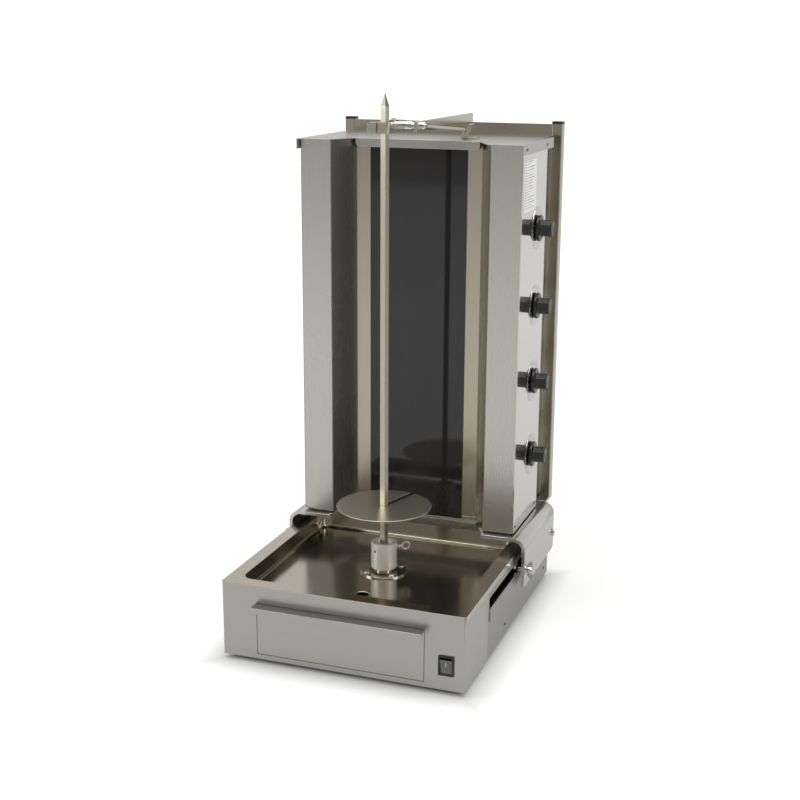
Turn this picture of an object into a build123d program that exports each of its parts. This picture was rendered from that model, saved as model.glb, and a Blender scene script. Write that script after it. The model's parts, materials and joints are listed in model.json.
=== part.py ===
from build123d import *
import os
from math import atan2, cos, degrees, radians, sin, tan

os.makedirs("parts", exist_ok=True)

# Vertical rotisserie broiler, in millimetres. +X is the operator's right, -Y the front, +Z up.
# The origin is on the floor, under the middle of the whole machine.

# ---------------------------------------------------------------- driving dimensions
# base cabinet
base_width = 430.0          # over the rim of the drip tray
base_depth = 551.0          # over the rim of the drip tray, front to back
base_height = 131.0         # underside of the cabinet to the top of the rim
foot_height = 9.0
foot_radius = 15.0
foot_taper = 8.0            # degrees
foot_inset = 42.0           # foot centre in from each outer face
sheet = 1.5                 # casing sheet
seam_setback = 134.0        # front face to the seam between front shell and side panel
seam_gap = 0.8
floor_gap = 0.3             # floor plate to the front wall
shell_corner = 2.0          # outside bend radius of the front shell
# drip tray
rim_skirt = 10.0            # turned-down edge of the tray, at the sides and the back
skirt_start = 4.0           # front face to the skirt's front ends
rim_land = 25.0             # flat land between the outer edge and the basin
basin_length = 355.0
basin_depth = 29.0
basin_corner = 19.0
basin_fillet = 6.0
drain_radius = 11.0
drain_rim = 3.0             # width of the formed ring round the drain
drain_rise = 2.4            # how far the ring stands above the floor
drain_round = 1.2           # the ring is rolled over, inside and out
drain_spout = 9.0           # turned-down spout under the floor
drain_x = 4.0
drain_setback = 89.0        # front face to the drain's centre
# drawer
drawer_left = -150.0
drawer_right = 145.0
drawer_bottom_rise = 9.5    # underside of the cabinet to the drawer front
drawer_front_height = 90.0
drawer_gap = 1.0            # seam round the drawer front
drawer_pan_depth = 148.0
drawer_pan_height = 66.0
drawer_pan_sheet = 1.0
drawer_pan_inset = 9.0      # pan side in from the drawer front's edge
lip_reach = 21.0
lip_drop = 10.0
lip_overhang = 2.0          # lip past each end of the drawer front
runner_gap = 0.4            # pan to runner
runner_ledge = 8.0
runner_wall = 1.5
runner_lift = 9.0           # ledge above the cabinet floor
# switch
switch_x = 183.0
switch_rise = 43.0          # underside of the cabinet to the switch centre
switch_width = 27.0
switch_height = 35.0
switch_rim = 2.0            # bezel flange thickness
switch_body_depth = 22.0
rocker_width = 19.5
rocker_height = 26.5
rocker_tilt = 8.0           # degrees each side of level
rocker_gap = 0.5            # rocker to bezel, each side
rocker_dish = 1.6           # depth of the rocker's hollow face
rocker_proud = 0.6          # rocker's edges past the bezel when level
rocker_heel = 3.0           # rocker's back past its axis
rocker_axis_depth = 6.0     # front wall to the rocker's axis
pivot_radius = 1.5
pivot_reach = 1.5           # pivot past each side of the rocker
# drive
spit_setback = 205.0        # front face to the spit's axis
flange_radius = 42.0
flange_thickness = 3.0
flange_boss_radius = 16.0
flange_boss_rise = 3.5
flange_screw_circle = 66.0
flange_screw_count = 4
shaft_radius = 6.0
running_gap = 0.05          # radial, shaft in bore
gearbox_radius = 41.0
gearbox_height = 40.0
gearbox_base = 8.0          # solid end of the gearbox under the shaft
shaft_end_gap = 0.3
motor_size = 64.0
motor_height = 44.0
motor_boss_height = 11.0
motor_boss_radius = 25.6
motor_corner = 6.0
# spit and cup
cup_radius = 22.5
cup_height = 47.0
cup_gap = 1.6               # cup's underside above the flange boss
cup_recess_radius = 17.0
cup_recess_depth = 6.0
tenon_radius = 5.0
tenon_length = 33.0
cup_round = 1.2
cup_screw_radius = 2.4
cup_screw_rise = 34.0       # above the cup's underside
cup_screw_turn = -114.8     # degrees from +X
thumb_end_gap = 0.3         # thumb screw's end to the tenon
spit_size = 10.0
spit_turn = -18.0           # degrees, the bar's flats about Z
spit_tip_rise = 63.3        # above the posts
spit_point = 22.0           # length of the pyramid point
spit_tip_width = 0.8
disc_pin_gap = 0.05         # pin to the underside of the disc
disc_radius = 83.0
disc_thickness = 1.5
disc_height = 232.0         # underside of the disc above the floor
disc_slot_gap = 0.5         # slot to bar, each side
disc_slot_turn = 72.0       # degrees from +X, the way the slot points
disc_pin_radius = 2.0
disc_pin_length = 30.0
thumb_radius = 3.0
thumb_length = 17.0         # shank outside the cup
thumb_ring_radius = 6.5
thumb_ring_wire = 1.7
thumb_turn = 30.0           # degrees from +X, the way the thumb screw points
thumb_rise = 37.0           # above the cup's underside
# carriage
carriage_thickness = 6.0
carriage_lift = 22.0        # top of the plate above the tray rim
carriage_front = 308.0      # front face of the cabinet to the carriage's front edge
cheek_gap = 8.0             # cabinet side to the inside of a cheek
cheek_bend = 22.0           # outside bend radius
cheek_length = 219.0
cheek_bottom_rise = 62.0    # underside of the cabinet to the cheek's lower edge
cheek_foot = 12.0           # flat part of the cheek before its bend
cheek_corner = 8.0
slot_height = 18.0
slot_bottom_rise = 89.5
slot_front_gap = 4.0        # seam to the slot's front end
slot_rear_gap = 14.0        # slot's rear end to the back of the cabinet
rail_height = 25.0          # slide rail under the slot
rail_thickness = 2.0
clamp_radius = 4.0
slot_play = 0.5             # bolt to the slot's lower edge
guide_head_radius = 6.4
guide_head_height = 3.0
hex_socket_radius = 3.2
hex_socket_depth = 2.0
clamp_setback = 10.0        # carriage front edge to the clamp bolt
guide_setback = 211.0       # carriage front edge to the guide screw
washer_radius = 9.0
washer_thickness = 1.5
bolt_head_radius = 11.0
bolt_head_height = 3.5
nut_hub_radius = 6.5
nut_hub_length = 9.0
nut_span = 17.0             # wing tip from the bolt's axis
nut_wing = 2.6              # wing thickness
bolt_tail = 1.5             # bolt end past the wing nut
# tower
tower_width = 404.6
tower_height = 685.0
tower_lift = 3.0            # thickness of the tower floor on the carriage
wing_setback = 322.75       # front face of the cabinet to the wing fronts
wing_face = 56.0            # width of each wing's flat front
window_half = 116.25        # half the width between the feet of the bevels
bevel_depth = 52.0          # wing front to the window frame
side_depth = 165.5          # depth of the side panels
floor_inset = 10.0
wing_flange = 10.0
rail_strip = 26.0           # window frame strip each side
glass_thickness = 4.0
glass_bite = 8.0            # glass behind each strip
sill_reach = 17.0           # sill in front of the window frame
sill_height = 3.0
rear_wall_half = 190.0      # half the width of the recessed rear housing
# top cover
cover_front_overhang = 12.0
cover_side_overhang = 2.7
cover_flange = 18.0
cover_flange_end = 202.0    # length of the side flange, from the wing fronts
cover_lip = 15.0
cover_lip_setback = 11.0    # lip in front of the window frame
cover_lip_chamfer = 5.0
cover_lip_inset = 2.0       # lip's ends in from the bevels
cover_front_inset = 4.0     # cover over the wings, past their inner corners
# posts and rear cover
post_size = 20.0
post_wall = 1.5
post_setback = 556.7
post_outer = 9.9            # post's outer face past the side panel
post_rise = 22.7            # posts' top above the tower
post_cap = 4.5
cap_grip = 8.0              # plug of a cap inside its tube
louvre_rows = 8
louvre_width = 90.0
louvre_height = 5.0
louvre_pitch = 14.0
# heating
zone_count = 4
zone_first = 119.25         # tower's underside to the lowest zone's centre
zone_last = 150.25          # highest zone's centre to the tower's top
element_radius = 4.0
element_half_width = 76.0
element_tail = 14.0         # cold ends past the serpentine, through the reflector
element_hole_gap = 0.5
element_rise = 21.0         # spacing of an element's runs
element_gap = 18.0          # back of the glass to the element's centre line
reflector_gap = 14.0        # element centre line to the reflector
insulation_thickness = 22.0
# controls
knob_setback = 110.25       # wing fronts to the knob axes
knob_skirt_radius = 23.2
knob_skirt = 6.0
knob_grip_radius = 14.5
knob_grip_length = 21.0
knob_gap = 1.5              # panel to the back of the skirt
knob_shaft_radius = 3.0
knob_shaft_gap = 1.5        # shaft to the hole in the panel
knob_shaft_end = 6.5        # shaft's end to the back of the regulator
knob_shaft_bite = 1.0       # shaft inside the skirt
knob_skirt_round = 1.8
knob_grip_round = 1.5
shaft_bore_end = 6.0        # bottom of the regulator's bore to its back
dial_radius = 38.0
dial_thickness = 0.4
regulator_size = 34.0
regulator_depth = 32.0
plate_width = 82.0          # blank rating plate
plate_height = 87.0
plate_front_gap = 10.0
plate_top_gap = 27.0
plate_thickness = 0.4
# spit holder
arm_x = 39.0
arm_thickness = 6.0
arm_height = 16.5
arm_front_setback = 243.0   # front face of the cabinet to the arm's front end
arm_foot_length = 30.0
arm_foot_thickness = 3.0
strap_thickness = 2.5
strap_height = 18.0
strap_inner = 16.5          # clear width round the spit
strap_length = 84.0         # clear length, front to back
strap_front_gap = 8.5       # spit axis to the inside of the front wall
latch_gap = 0.4
latch_pin_radius = 2.5
latch_tab = 15.0
collar_radius = 7.5
holder_bolt_radius = 4.0
holder_bolt_inset = 9.0     # bolt's axis to the strap's rear wall
holder_head_radius = 6.4
holder_head_height = 3.0
holder_nut_radius = 6.8
holder_nut_height = 5.0
holder_bolt_tail = 2.0      # bolt's end past its nut
collar_step = 0.55          # share of the collar at its full radius
collar_neck_radius = 6.0
knuckle_wall = 2.2
pin_head_grip = 1.6         # pin head past the pin, and its height
strut_radius = 4.0
strut_x = 70.0
strut_setback = 412.0
strut_lead = 46.0           # arm's front end to the start of the strut
strut_rise = 15.0           # strut's rear end above the top cover
strut_seat = 1.5            # strut above the arm's lower edge
bracket_foot = 26.0
bracket_lean = 14.0         # how far the bracket's upright leans
bracket_rise = 25.0
bracket_width = 24.0
bracket_thickness = 3.0
# small fasteners and vents
screw_radius = 3.0
screw_rise = 1.8
screw_head_radius = 5.4
head_chamfer = 0.6
vent_length = 60.0
vent_width = 5.0
vent_count = 6
gland_radius = 11.0
gland_reach = 17.0
gland_x = 140.0
gland_rise = 45.0
gland_bore = 4.95           # radius, for a lead of about 9 mm
gland_nut = 8.0             # gland inside the rear wall
gland_grip = 3.0            # nut corners past the gland body

# ---------------------------------------------------------------- places worked out from them
post_back = post_setback + post_size
face_y = (lip_reach - post_back) / 2        # front face of the cabinet
box_z = foot_height                         # underside of the cabinet
rim_z = box_z + base_height
skin_half = base_width / 2 - sheet          # outer face of the cabinet's skin
back_y = face_y + base_depth                # outer edge of the tray at the back
skin_back = back_y - sheet
skin_front = face_y                         # the front wall is flush with the tray's edge
floor_top = box_z + sheet
shell_top = rim_z - sheet                   # top of the cabinet's walls, under the tray
basin_floor = rim_z - basin_depth
basin_half = base_width / 2 - rim_land
basin_front = face_y + rim_land
basin_mid = basin_front + basin_length / 2
base_mid = face_y + base_depth / 2
spit_y = face_y + spit_setback
seam_y = face_y + seam_setback

flange_top = basin_floor + flange_thickness
boss_top = flange_top + flange_boss_rise
cup_bottom = boss_top + cup_gap
cup_top = cup_bottom + cup_height
socket_top = cup_top - cup_recess_depth
tenon_bottom = socket_top - tenon_length
gearbox_top = basin_floor - sheet
gearbox_bottom = gearbox_top - gearbox_height
thumb_z = cup_bottom + thumb_rise

cheek_in = max(base_width / 2 + cheek_gap, tower_width / 2 + post_outer + cheek_gap)
cheek_out = cheek_in + carriage_thickness
cheek_foot_x = cheek_out - cheek_bend - cheek_foot
carriage_top = rim_z + carriage_lift
carriage_under = carriage_top - carriage_thickness
carriage_y = face_y + carriage_front
cheek_back = carriage_y + cheek_length
cheek_bottom = box_z + cheek_bottom_rise
slot_bottom = box_z + slot_bottom_rise
slot_top = slot_bottom + slot_height
slot_mid = (slot_bottom + slot_top) / 2
clamp_z = slot_bottom + clamp_radius + slot_play
clamp_y = carriage_y + clamp_setback
guide_y = carriage_y + guide_setback

tower_half = tower_width / 2
tower_bottom = carriage_top + tower_lift
tower_top = tower_bottom + tower_height
wing_y = face_y + wing_setback
window_y = wing_y + bevel_depth
side_back = wing_y + side_depth
wing_inner = tower_half - wing_face
glass_half = window_half - rail_strip
post_y = face_y + post_setback
post_out = tower_half + post_outer
post_in = post_out - post_size
post_top = tower_top + post_rise
post_height = post_top - carriage_top
cover_top = tower_top + sheet
element_y = window_y + sheet + glass_thickness + element_gap
reflector_y = element_y + reflector_gap
knob_y = wing_y + knob_setback
zone_pitch = (tower_height - zone_first - zone_last) / (zone_count - 1)
zone_z = [tower_bottom + zone_first + zone_pitch * n for n in range(zone_count)]
arm_bottom = post_top
arm_mid = arm_bottom + arm_height / 2
strap_out = strap_inner / 2 + strap_thickness
strap_front = spit_y - strap_front_gap - strap_thickness
strap_back = strap_front + 2 * strap_thickness + strap_length


# ---------------------------------------------------------------- shared helpers
def facing_front(y):
    """a plane across the machine at y: its X is +X, its Y is up, and it extrudes to the front"""
    return Plane(origin=(0, y, 0), x_dir=(1, 0, 0), z_dir=(0, -1, 0))


def facing_right(x):
    """a plane along the machine at x: its X is +Y, its Y is up, and it extrudes to the right"""
    return Plane(origin=(x, 0, 0), x_dir=(0, 1, 0), z_dir=(1, 0, 0))


def block(x, y, z, mode=Mode.ADD):
    """a rectangular block between two values on each axis, in the part being built"""
    with Locations(((x[0] + x[1]) / 2, (y[0] + y[1]) / 2, (z[0] + z[1]) / 2)):
        Box(abs(x[1] - x[0]), abs(y[1] - y[0]), abs(z[1] - z[0]), mode=mode)


def rod(plane, centre, radius, length, mode=Mode.ADD):
    """a round bar or a round hole that starts on a plane"""
    with BuildSketch(plane) as section:
        with Locations(centre):
            Circle(radius)
    extrude(section.sketch, amount=length, mode=mode)


def keep(piece, name):
    """label a finished piece and write it to its own file"""
    piece.part.label = name
    export_step(piece.part, f"parts/{name}.step")


def mirrored(side, low, high):
    """the X span of a feature on the right (side 1) or on the left (side -1)"""
    return tuple(sorted((side * low, side * high)))


sides = {"left": -1, "right": 1}

# ================================================================ base cabinet
# floor plate with two rows of vents and the holes for the feet's screws
foot_places = [(x, y) for x in (-skin_half + foot_inset, skin_half - foot_inset)
               for y in (skin_front + foot_inset, skin_back - foot_inset)]
with BuildPart() as base_floor:
    block((-skin_half + sheet, skin_half - sheet), (skin_front + sheet + floor_gap, skin_back - sheet),
          (box_z, floor_top))
    with BuildSketch(Plane.XY.offset(box_z)):
        with Locations((0, spit_y), (0, skin_back - foot_inset * 2)):
            with GridLocations(0, vent_width * 2.4, 1, vent_count):
                SlotOverall(vent_length, vent_width)
    extrude(amount=sheet, mode=Mode.SUBTRACT)
keep(base_floor, "base_floor")

with BuildPart() as feet:
    for foot_x, foot_y in foot_places:
        with BuildSketch(Plane.XY.offset(foot_height)):
            with Locations((foot_x, foot_y)):
                Circle(foot_radius)
        extrude(amount=-foot_height, taper=foot_taper)
keep(feet, "feet")

# front shell: the front wall and its two returns, bent from one sheet, with the drawer and switch openings
with BuildPart() as front_panel:
    with BuildSketch(Plane.XY.offset(box_z)):
        with BuildLine():
            FilletPolyline(
                (-skin_half, seam_y), (-skin_half, skin_front), (skin_half, skin_front), (skin_half, seam_y),
                radius=shell_corner,
            )
            FilletPolyline(
                (skin_half, seam_y), (skin_half - sheet, seam_y), (skin_half - sheet, skin_front + sheet),
                (-skin_half + sheet, skin_front + sheet), (-skin_half + sheet, seam_y), (-skin_half, seam_y),
                radius=shell_corner / 8,
            )
        make_face()
    extrude(amount=shell_top - box_z)
    drawer_low = box_z + drawer_bottom_rise
    drawer_high = drawer_low + drawer_front_height
    block(
        (drawer_left - drawer_gap, drawer_right + drawer_gap),
        (skin_front - sheet, skin_front + 2 * sheet),
        (drawer_low - drawer_gap, drawer_high + drawer_gap),
        mode=Mode.SUBTRACT,
    )
    switch_z = box_z + switch_rise
    block(
        (switch_x - switch_width / 2 + switch_rim, switch_x + switch_width / 2 - switch_rim),
        (skin_front - sheet, skin_front + 2 * sheet),
        (switch_z - switch_height / 2 + switch_rim, switch_z + switch_height / 2 - switch_rim),
        mode=Mode.SUBTRACT,
    )
keep(front_panel, "front_panel")

# side panels, slotted for the carriage bolts, with a rail under each slot for the carriage to run on
slot_front = seam_y + seam_gap + slot_front_gap
slot_back = back_y - slot_rear_gap
for side_name, side in sides.items():
    with BuildPart() as side_panel:
        block(
            mirrored(side, skin_half - sheet, skin_half),
            (seam_y + seam_gap, skin_back),
            (box_z, shell_top),
        )
        with BuildSketch(facing_right(side * (skin_half + rail_thickness))):
            with Locations(((slot_front + slot_back) / 2, slot_mid)):
                Rectangle(slot_back - slot_front, slot_height)
        extrude(amount=-side * (sheet + 2 * rail_thickness), mode=Mode.SUBTRACT)
        block(
            mirrored(side, skin_half, skin_half + rail_thickness),
            (slot_front, slot_back),
            (slot_bottom - rail_height, slot_bottom),
        )
    keep(side_panel, f"side_panel_{side_name}")

# rear wall between the side panels, with its vents and the hole for the cable gland
gland_z = box_z + gland_rise
gland_length = gland_reach + sheet + gland_nut
with BuildPart() as rear_panel:
    block((-skin_half + sheet, skin_half - sheet), (skin_back - sheet, skin_back), (box_z, shell_top))
    with BuildSketch(facing_front(skin_back)):
        with Locations((-gland_x / 2, gland_z)):
            with GridLocations(0, vent_width * 2.2, 1, vent_count):
                SlotOverall(vent_length * 2, vent_width)
    extrude(amount=sheet, mode=Mode.SUBTRACT)
    rod(facing_front(skin_back), (gland_x, gland_z), gland_radius, sheet, mode=Mode.SUBTRACT)
keep(rear_panel, "rear_panel")

with BuildPart() as cable_gland:
    gland_plane = facing_front(skin_back + gland_reach)
    rod(gland_plane, (gland_x, gland_z), gland_radius - running_gap, gland_length)
    with BuildSketch(facing_front(skin_back)):
        with Locations((gland_x, gland_z)):
            RegularPolygon(gland_radius + gland_grip, 6)
    extrude(amount=-gland_nut)
    fillet(cable_gland.faces().sort_by(Axis.Y)[-1].edges(), gland_grip)
    rod(gland_plane, (gland_x, gland_z), gland_bore, gland_length, mode=Mode.SUBTRACT)
keep(cable_gland, "cable_gland")


# drip tray: rim, turned-down skirt and a deep-drawn basin with a drain and the drive opening
def basin(grow):
    """the basin's block, grown by a wall thickness for its outside"""
    with BuildPart() as tub:
        with BuildSketch(Plane.XY.offset(basin_floor - grow)):
            with Locations((0, basin_mid)):
                RectangleRounded(
                    2 * (basin_half + grow), basin_length + 2 * grow, basin_corner + grow
                )
        extrude(amount=basin_depth + grow)
        fillet(tub.faces().sort_by(Axis.Z)[0].edges(), basin_fillet + grow)
    return tub.part


basin_shell = basin(sheet)
basin_void = basin(0.0)
drain_place = (drain_x, face_y + drain_setback)
with BuildPart() as drip_tray:
    with BuildSketch(Plane.XY.offset(rim_z - sheet)):
        with Locations((0, base_mid)):
            RectangleRounded(base_width, base_depth, shell_corner + sheet)
    extrude(amount=sheet)
    with BuildSketch(Plane.XY.offset(rim_z - rim_skirt)):
        with Locations((0, base_mid)):
            RectangleRounded(base_width, base_depth, shell_corner + sheet)
            Rectangle(base_width - 2 * sheet, base_depth - 2 * sheet, mode=Mode.SUBTRACT)
        with Locations((0, face_y)):
            Rectangle(base_width, 2 * skirt_start, mode=Mode.SUBTRACT)
    extrude(amount=rim_skirt)
    add(basin_shell)
    add(basin_void, mode=Mode.SUBTRACT)
    drain_high = basin_floor + drain_rise
    drain_plane = Plane.XY.offset(basin_floor - drain_spout)
    rod(drain_plane, drain_place, drain_radius + drain_rim, drain_spout + drain_rise)
    rod(drain_plane, drain_place, drain_radius, drain_spout + drain_rise, mode=Mode.SUBTRACT)
    tray_circles = drip_tray.edges().filter_by(GeomType.CIRCLE)
    drain_edges = tray_circles.filter_by_position(Axis.Z, drain_high - running_gap, drain_high + running_gap)
    fillet(drain_edges, drain_round)
    rod(Plane.XY.offset(basin_floor - sheet), (0, spit_y), flange_boss_radius, sheet, mode=Mode.SUBTRACT)
    with BuildSketch(Plane.XY.offset(basin_floor - sheet)):
        with Locations((0, spit_y)):
            with PolarLocations(flange_screw_circle / 2, flange_screw_count, start_angle=45):
                Circle(screw_radius)
    extrude(amount=sheet, mode=Mode.SUBTRACT)
keep(drip_tray, "drip_tray")

# round bearing flange on the tray floor, its four screws, and the geared motor under the tray
bore = shaft_radius + running_gap
with BuildPart() as bearing_flange:
    rod(Plane.XY.offset(basin_floor), (0, spit_y), flange_radius, flange_thickness)
    fillet(bearing_flange.faces().sort_by(Axis.Z)[-1].edges(), 1.2)
    rod(Plane.XY.offset(basin_floor - sheet), (0, spit_y), flange_boss_radius - running_gap,
        boss_top - basin_floor + sheet)
    rod(Plane.XY.offset(basin_floor - sheet), (0, spit_y), bore, boss_top - basin_floor + sheet,
        mode=Mode.SUBTRACT)
    with BuildSketch(Plane.XY.offset(basin_floor)):
        with Locations((0, spit_y)):
            with PolarLocations(flange_screw_circle / 2, flange_screw_count, start_angle=45):
                Circle(screw_radius)
    extrude(amount=flange_thickness, mode=Mode.SUBTRACT)
keep(bearing_flange, "bearing_flange")

with BuildPart() as flange_screws:
    with BuildSketch(Plane.XY.offset(flange_top)):
        with Locations((0, spit_y)):
            with PolarLocations(flange_screw_circle / 2, flange_screw_count, start_angle=45):
                Circle(screw_head_radius)
    extrude(amount=screw_rise)
    chamfer(flange_screws.faces().sort_by(Axis.Z)[-flange_screw_count:].edges(), head_chamfer)
    with BuildSketch(Plane.XY.offset(flange_top)):
        with Locations((0, spit_y)):
            with PolarLocations(flange_screw_circle / 2, flange_screw_count, start_angle=45):
                Circle(screw_radius - running_gap)
    extrude(amount=-(flange_thickness + sheet))
keep(flange_screws, "flange_screws")

shaft_bottom = gearbox_bottom + gearbox_base
with BuildPart() as gearbox:
    rod(Plane.XY.offset(gearbox_bottom), (0, spit_y), gearbox_radius, gearbox_height)
    fillet(gearbox.faces().sort_by(Axis.Z)[0].edges(), 2.0)
    rod(Plane.XY.offset(shaft_bottom), (0, spit_y), bore, gearbox_top - shaft_bottom, mode=Mode.SUBTRACT)
keep(gearbox, "gearbox")

motor_bottom = gearbox_bottom - motor_height
with BuildPart() as motor:
    block((-motor_size / 2, motor_size / 2), (spit_y - motor_size / 2, spit_y + motor_size / 2),
          (motor_bottom + motor_boss_height, gearbox_bottom))
    fillet(motor.edges().filter_by(Axis.Z), motor_corner)
    rod(Plane.XY.offset(motor_bottom), (0, spit_y), motor_boss_radius, motor_boss_height)
keep(motor, "motor")

# ================================================================ switch
switch_skin = skin_front - switch_rim
switch_inner = skin_front + switch_body_depth
rocker_axis_y = skin_front + rocker_axis_depth
pivot_start = switch_x - rocker_width / 2 - pivot_reach
with BuildPart() as switch_bezel:
    with BuildSketch(facing_front(skin_front)):
        with Locations((switch_x, switch_z)):
            RectangleRounded(switch_width, switch_height, switch_rim)
    extrude(amount=switch_rim)
    block(
        (switch_x - switch_width / 2 + switch_rim, switch_x + switch_width / 2 - switch_rim),
        (skin_front, switch_inner),
        (switch_z - switch_height / 2 + switch_rim, switch_z + switch_height / 2 - switch_rim),
    )
    block(
        (switch_x - rocker_width / 2 - rocker_gap, switch_x + rocker_width / 2 + rocker_gap),
        (switch_skin, switch_inner - 2 * switch_rim),
        (switch_z - rocker_height / 2 - rocker_gap, switch_z + rocker_height / 2 + rocker_gap),
        mode=Mode.SUBTRACT,
    )
    rod(facing_right(pivot_start - rocker_gap), (rocker_axis_y, switch_z), pivot_radius + running_gap,
        rocker_width + 2 * (pivot_reach + rocker_gap), mode=Mode.SUBTRACT)
keep(switch_bezel, "switch_bezel")

# the rocker turns on two short pivots, and rests with its lower half pressed in
tilt = radians(rocker_tilt)
rocker_face = rocker_height / 2 - 2 * running_gap - rocker_dish / 2
rocker_peak = rocker_axis_depth + switch_rim + rocker_proud
rocker_plane = Plane(
    origin=(switch_x - rocker_width / 2, rocker_axis_y, switch_z),
    x_dir=(0, cos(tilt), sin(tilt)), z_dir=(1, 0, 0),
)
with BuildPart() as switch_rocker:
    with BuildSketch(rocker_plane):
        with BuildLine():
            ThreePointArc(
                (-rocker_peak, rocker_face), (rocker_dish - rocker_peak, 0), (-rocker_peak, -rocker_face),
            )
            Polyline(
                (-rocker_peak, -rocker_face), (rocker_heel, -rocker_face / 2),
                (rocker_heel, rocker_face / 2), (-rocker_peak, rocker_face),
            )
        make_face()
    extrude(amount=rocker_width)
    rod(facing_right(pivot_start), (rocker_axis_y, switch_z), pivot_radius, rocker_width + 2 * pivot_reach)
keep(switch_rocker, "switch_rocker")

# ================================================================ grease drawer
lip_top = drawer_high + 0.5
with BuildPart() as drawer_front:
    block((drawer_left, drawer_right), (skin_front, skin_front + sheet), (drawer_low, drawer_high))
    with BuildSketch(facing_right(drawer_left - lip_overhang)):
        with BuildLine():
            FilletPolyline(
                (skin_front, lip_top - sheet), (skin_front, lip_top), (face_y - lip_reach, lip_top),
                (face_y - lip_reach, lip_top - lip_drop), (face_y - lip_reach + sheet, lip_top - lip_drop),
                (face_y - lip_reach + sheet, lip_top - sheet), (skin_front, lip_top - sheet),
                radius=sheet / 3,
            )
        make_face()
    extrude(amount=drawer_right - drawer_left + 2 * lip_overhang)
    block((drawer_left, drawer_right), (skin_front - sheet, skin_front), (drawer_high - 2 * sheet, lip_top))
keep(drawer_front, "drawer_front")

pan_left = drawer_left + drawer_pan_inset
pan_right = drawer_right - drawer_pan_inset
pan_bottom = floor_top + runner_lift + runner_wall + runner_gap
pan_top = pan_bottom + drawer_pan_height
pan_front = skin_front + sheet
pan_back = pan_front + drawer_pan_depth
with BuildPart() as drawer_pan:
    block((pan_left, pan_right), (pan_front, pan_back), (pan_bottom, pan_top))
    fillet(drawer_pan.edges().filter_by(Axis.Z), 4.0)
    top_face = drawer_pan.faces().sort_by(Axis.Z)[-1]
    offset(amount=-drawer_pan_sheet, openings=top_face, kind=Kind.INTERSECTION)
keep(drawer_pan, "drawer_pan")

# one angle runner each side: an upright on the cabinet floor with a ledge under the pan
with BuildPart() as drawer_runners:
    for side in (-1, 1):
        pan_side = pan_right if side > 0 else pan_left
        wall = sorted((pan_side + side * runner_gap, pan_side + side * (runner_gap + runner_wall)))
        ledge = sorted((pan_side + side * (runner_gap + runner_wall), pan_side - side * runner_ledge))
        block(wall, (skin_front + 2 * sheet, pan_back + sheet), (floor_top, pan_bottom + runner_lift))
        block(ledge, (skin_front + 2 * sheet, pan_back + sheet),
              (pan_bottom - runner_gap - runner_wall, pan_bottom - runner_gap))
keep(drawer_runners, "drawer_runners")

# ================================================================ carriage
# bent cheeks, one each side, and the flat plate that joins them and carries the tower
for side_name, side in sides.items():
    with BuildPart() as cheek:
        with BuildSketch(facing_front(cheek_back)):
            with BuildLine():
                bend_x = side * (cheek_out - cheek_bend)
                bend_z = carriage_top - cheek_bend
                inner = cheek_bend - carriage_thickness
                half = radians(45)
                Line((side * cheek_foot_x, carriage_top), (bend_x, carriage_top))
                ThreePointArc(
                    (bend_x, carriage_top),
                    (bend_x + side * cheek_bend * cos(half), bend_z + cheek_bend * sin(half)),
                    (side * cheek_out, bend_z),
                )
                Polyline((side * cheek_out, bend_z), (side * cheek_out, cheek_bottom),
                         (side * cheek_in, cheek_bottom), (side * cheek_in, bend_z))
                ThreePointArc(
                    (side * cheek_in, bend_z),
                    (bend_x + side * inner * cos(half), bend_z + inner * sin(half)),
                    (bend_x, carriage_under),
                )
                Polyline((bend_x, carriage_under), (side * cheek_foot_x, carriage_under),
                         (side * cheek_foot_x, carriage_top))
            make_face()
        extrude(amount=cheek_length)
        fillet(cheek.edges().filter_by(Axis.X).group_by(Axis.Z)[0], cheek_corner)
        for bolt_y in (clamp_y, guide_y):
            rod(facing_right(side * cheek_in), (bolt_y, clamp_z), clamp_radius + running_gap,
                side * carriage_thickness, mode=Mode.SUBTRACT)
    keep(cheek, f"cheek_{side_name}")

with BuildPart() as carriage_plate:
    block((-cheek_foot_x, cheek_foot_x), (carriage_y, face_y + post_back), (carriage_under, carriage_top))
    block((-post_out, post_out), (cheek_back + seam_gap, face_y + post_back), (carriage_under, carriage_top))
    # the front edge is cut back between the wings, as far as the window
    with BuildSketch(Plane.XY.offset(carriage_under)):
        Polygon(
            (-wing_inner, carriage_y), (wing_inner, carriage_y), (wing_inner, wing_y), (window_half, window_y),
            (-window_half, window_y), (-wing_inner, wing_y), align=None,
        )
    extrude(amount=carriage_thickness, mode=Mode.SUBTRACT)
keep(carriage_plate, "carriage_plate")

# bolts through the slots: a clamp bolt with a wing nut in front and a guide screw behind, each side
nut_start = cheek_out + washer_thickness
nut_end = nut_start + nut_hub_length
head_in = skin_half - sheet - washer_thickness - bolt_head_height
with BuildPart() as carriage_bolts:
    for side in (-1, 1):
        for bolt_y, bolt_end in ((clamp_y, nut_end + bolt_tail), (guide_y, cheek_out)):
            rod(facing_right(side * head_in), (bolt_y, clamp_z), bolt_head_radius, side * bolt_head_height)
            rod(facing_right(side * head_in), (bolt_y, clamp_z), clamp_radius, side * (bolt_end - head_in))
        rod(facing_right(side * cheek_out), (guide_y, clamp_z), guide_head_radius,
            side * guide_head_height)
        rod(facing_right(side * (cheek_out + guide_head_height)), (guide_y, clamp_z), hex_socket_radius,
            -side * hex_socket_depth, mode=Mode.SUBTRACT)
keep(carriage_bolts, "carriage_bolts")

with BuildPart() as clamp_washers:
    for side in (-1, 1):
        with BuildSketch(facing_right(side * cheek_out)):
            with Locations((clamp_y, clamp_z)):
                Circle(washer_radius)
                Circle(clamp_radius + running_gap, mode=Mode.SUBTRACT)
        extrude(amount=side * washer_thickness)
keep(clamp_washers, "clamp_washers")

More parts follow.
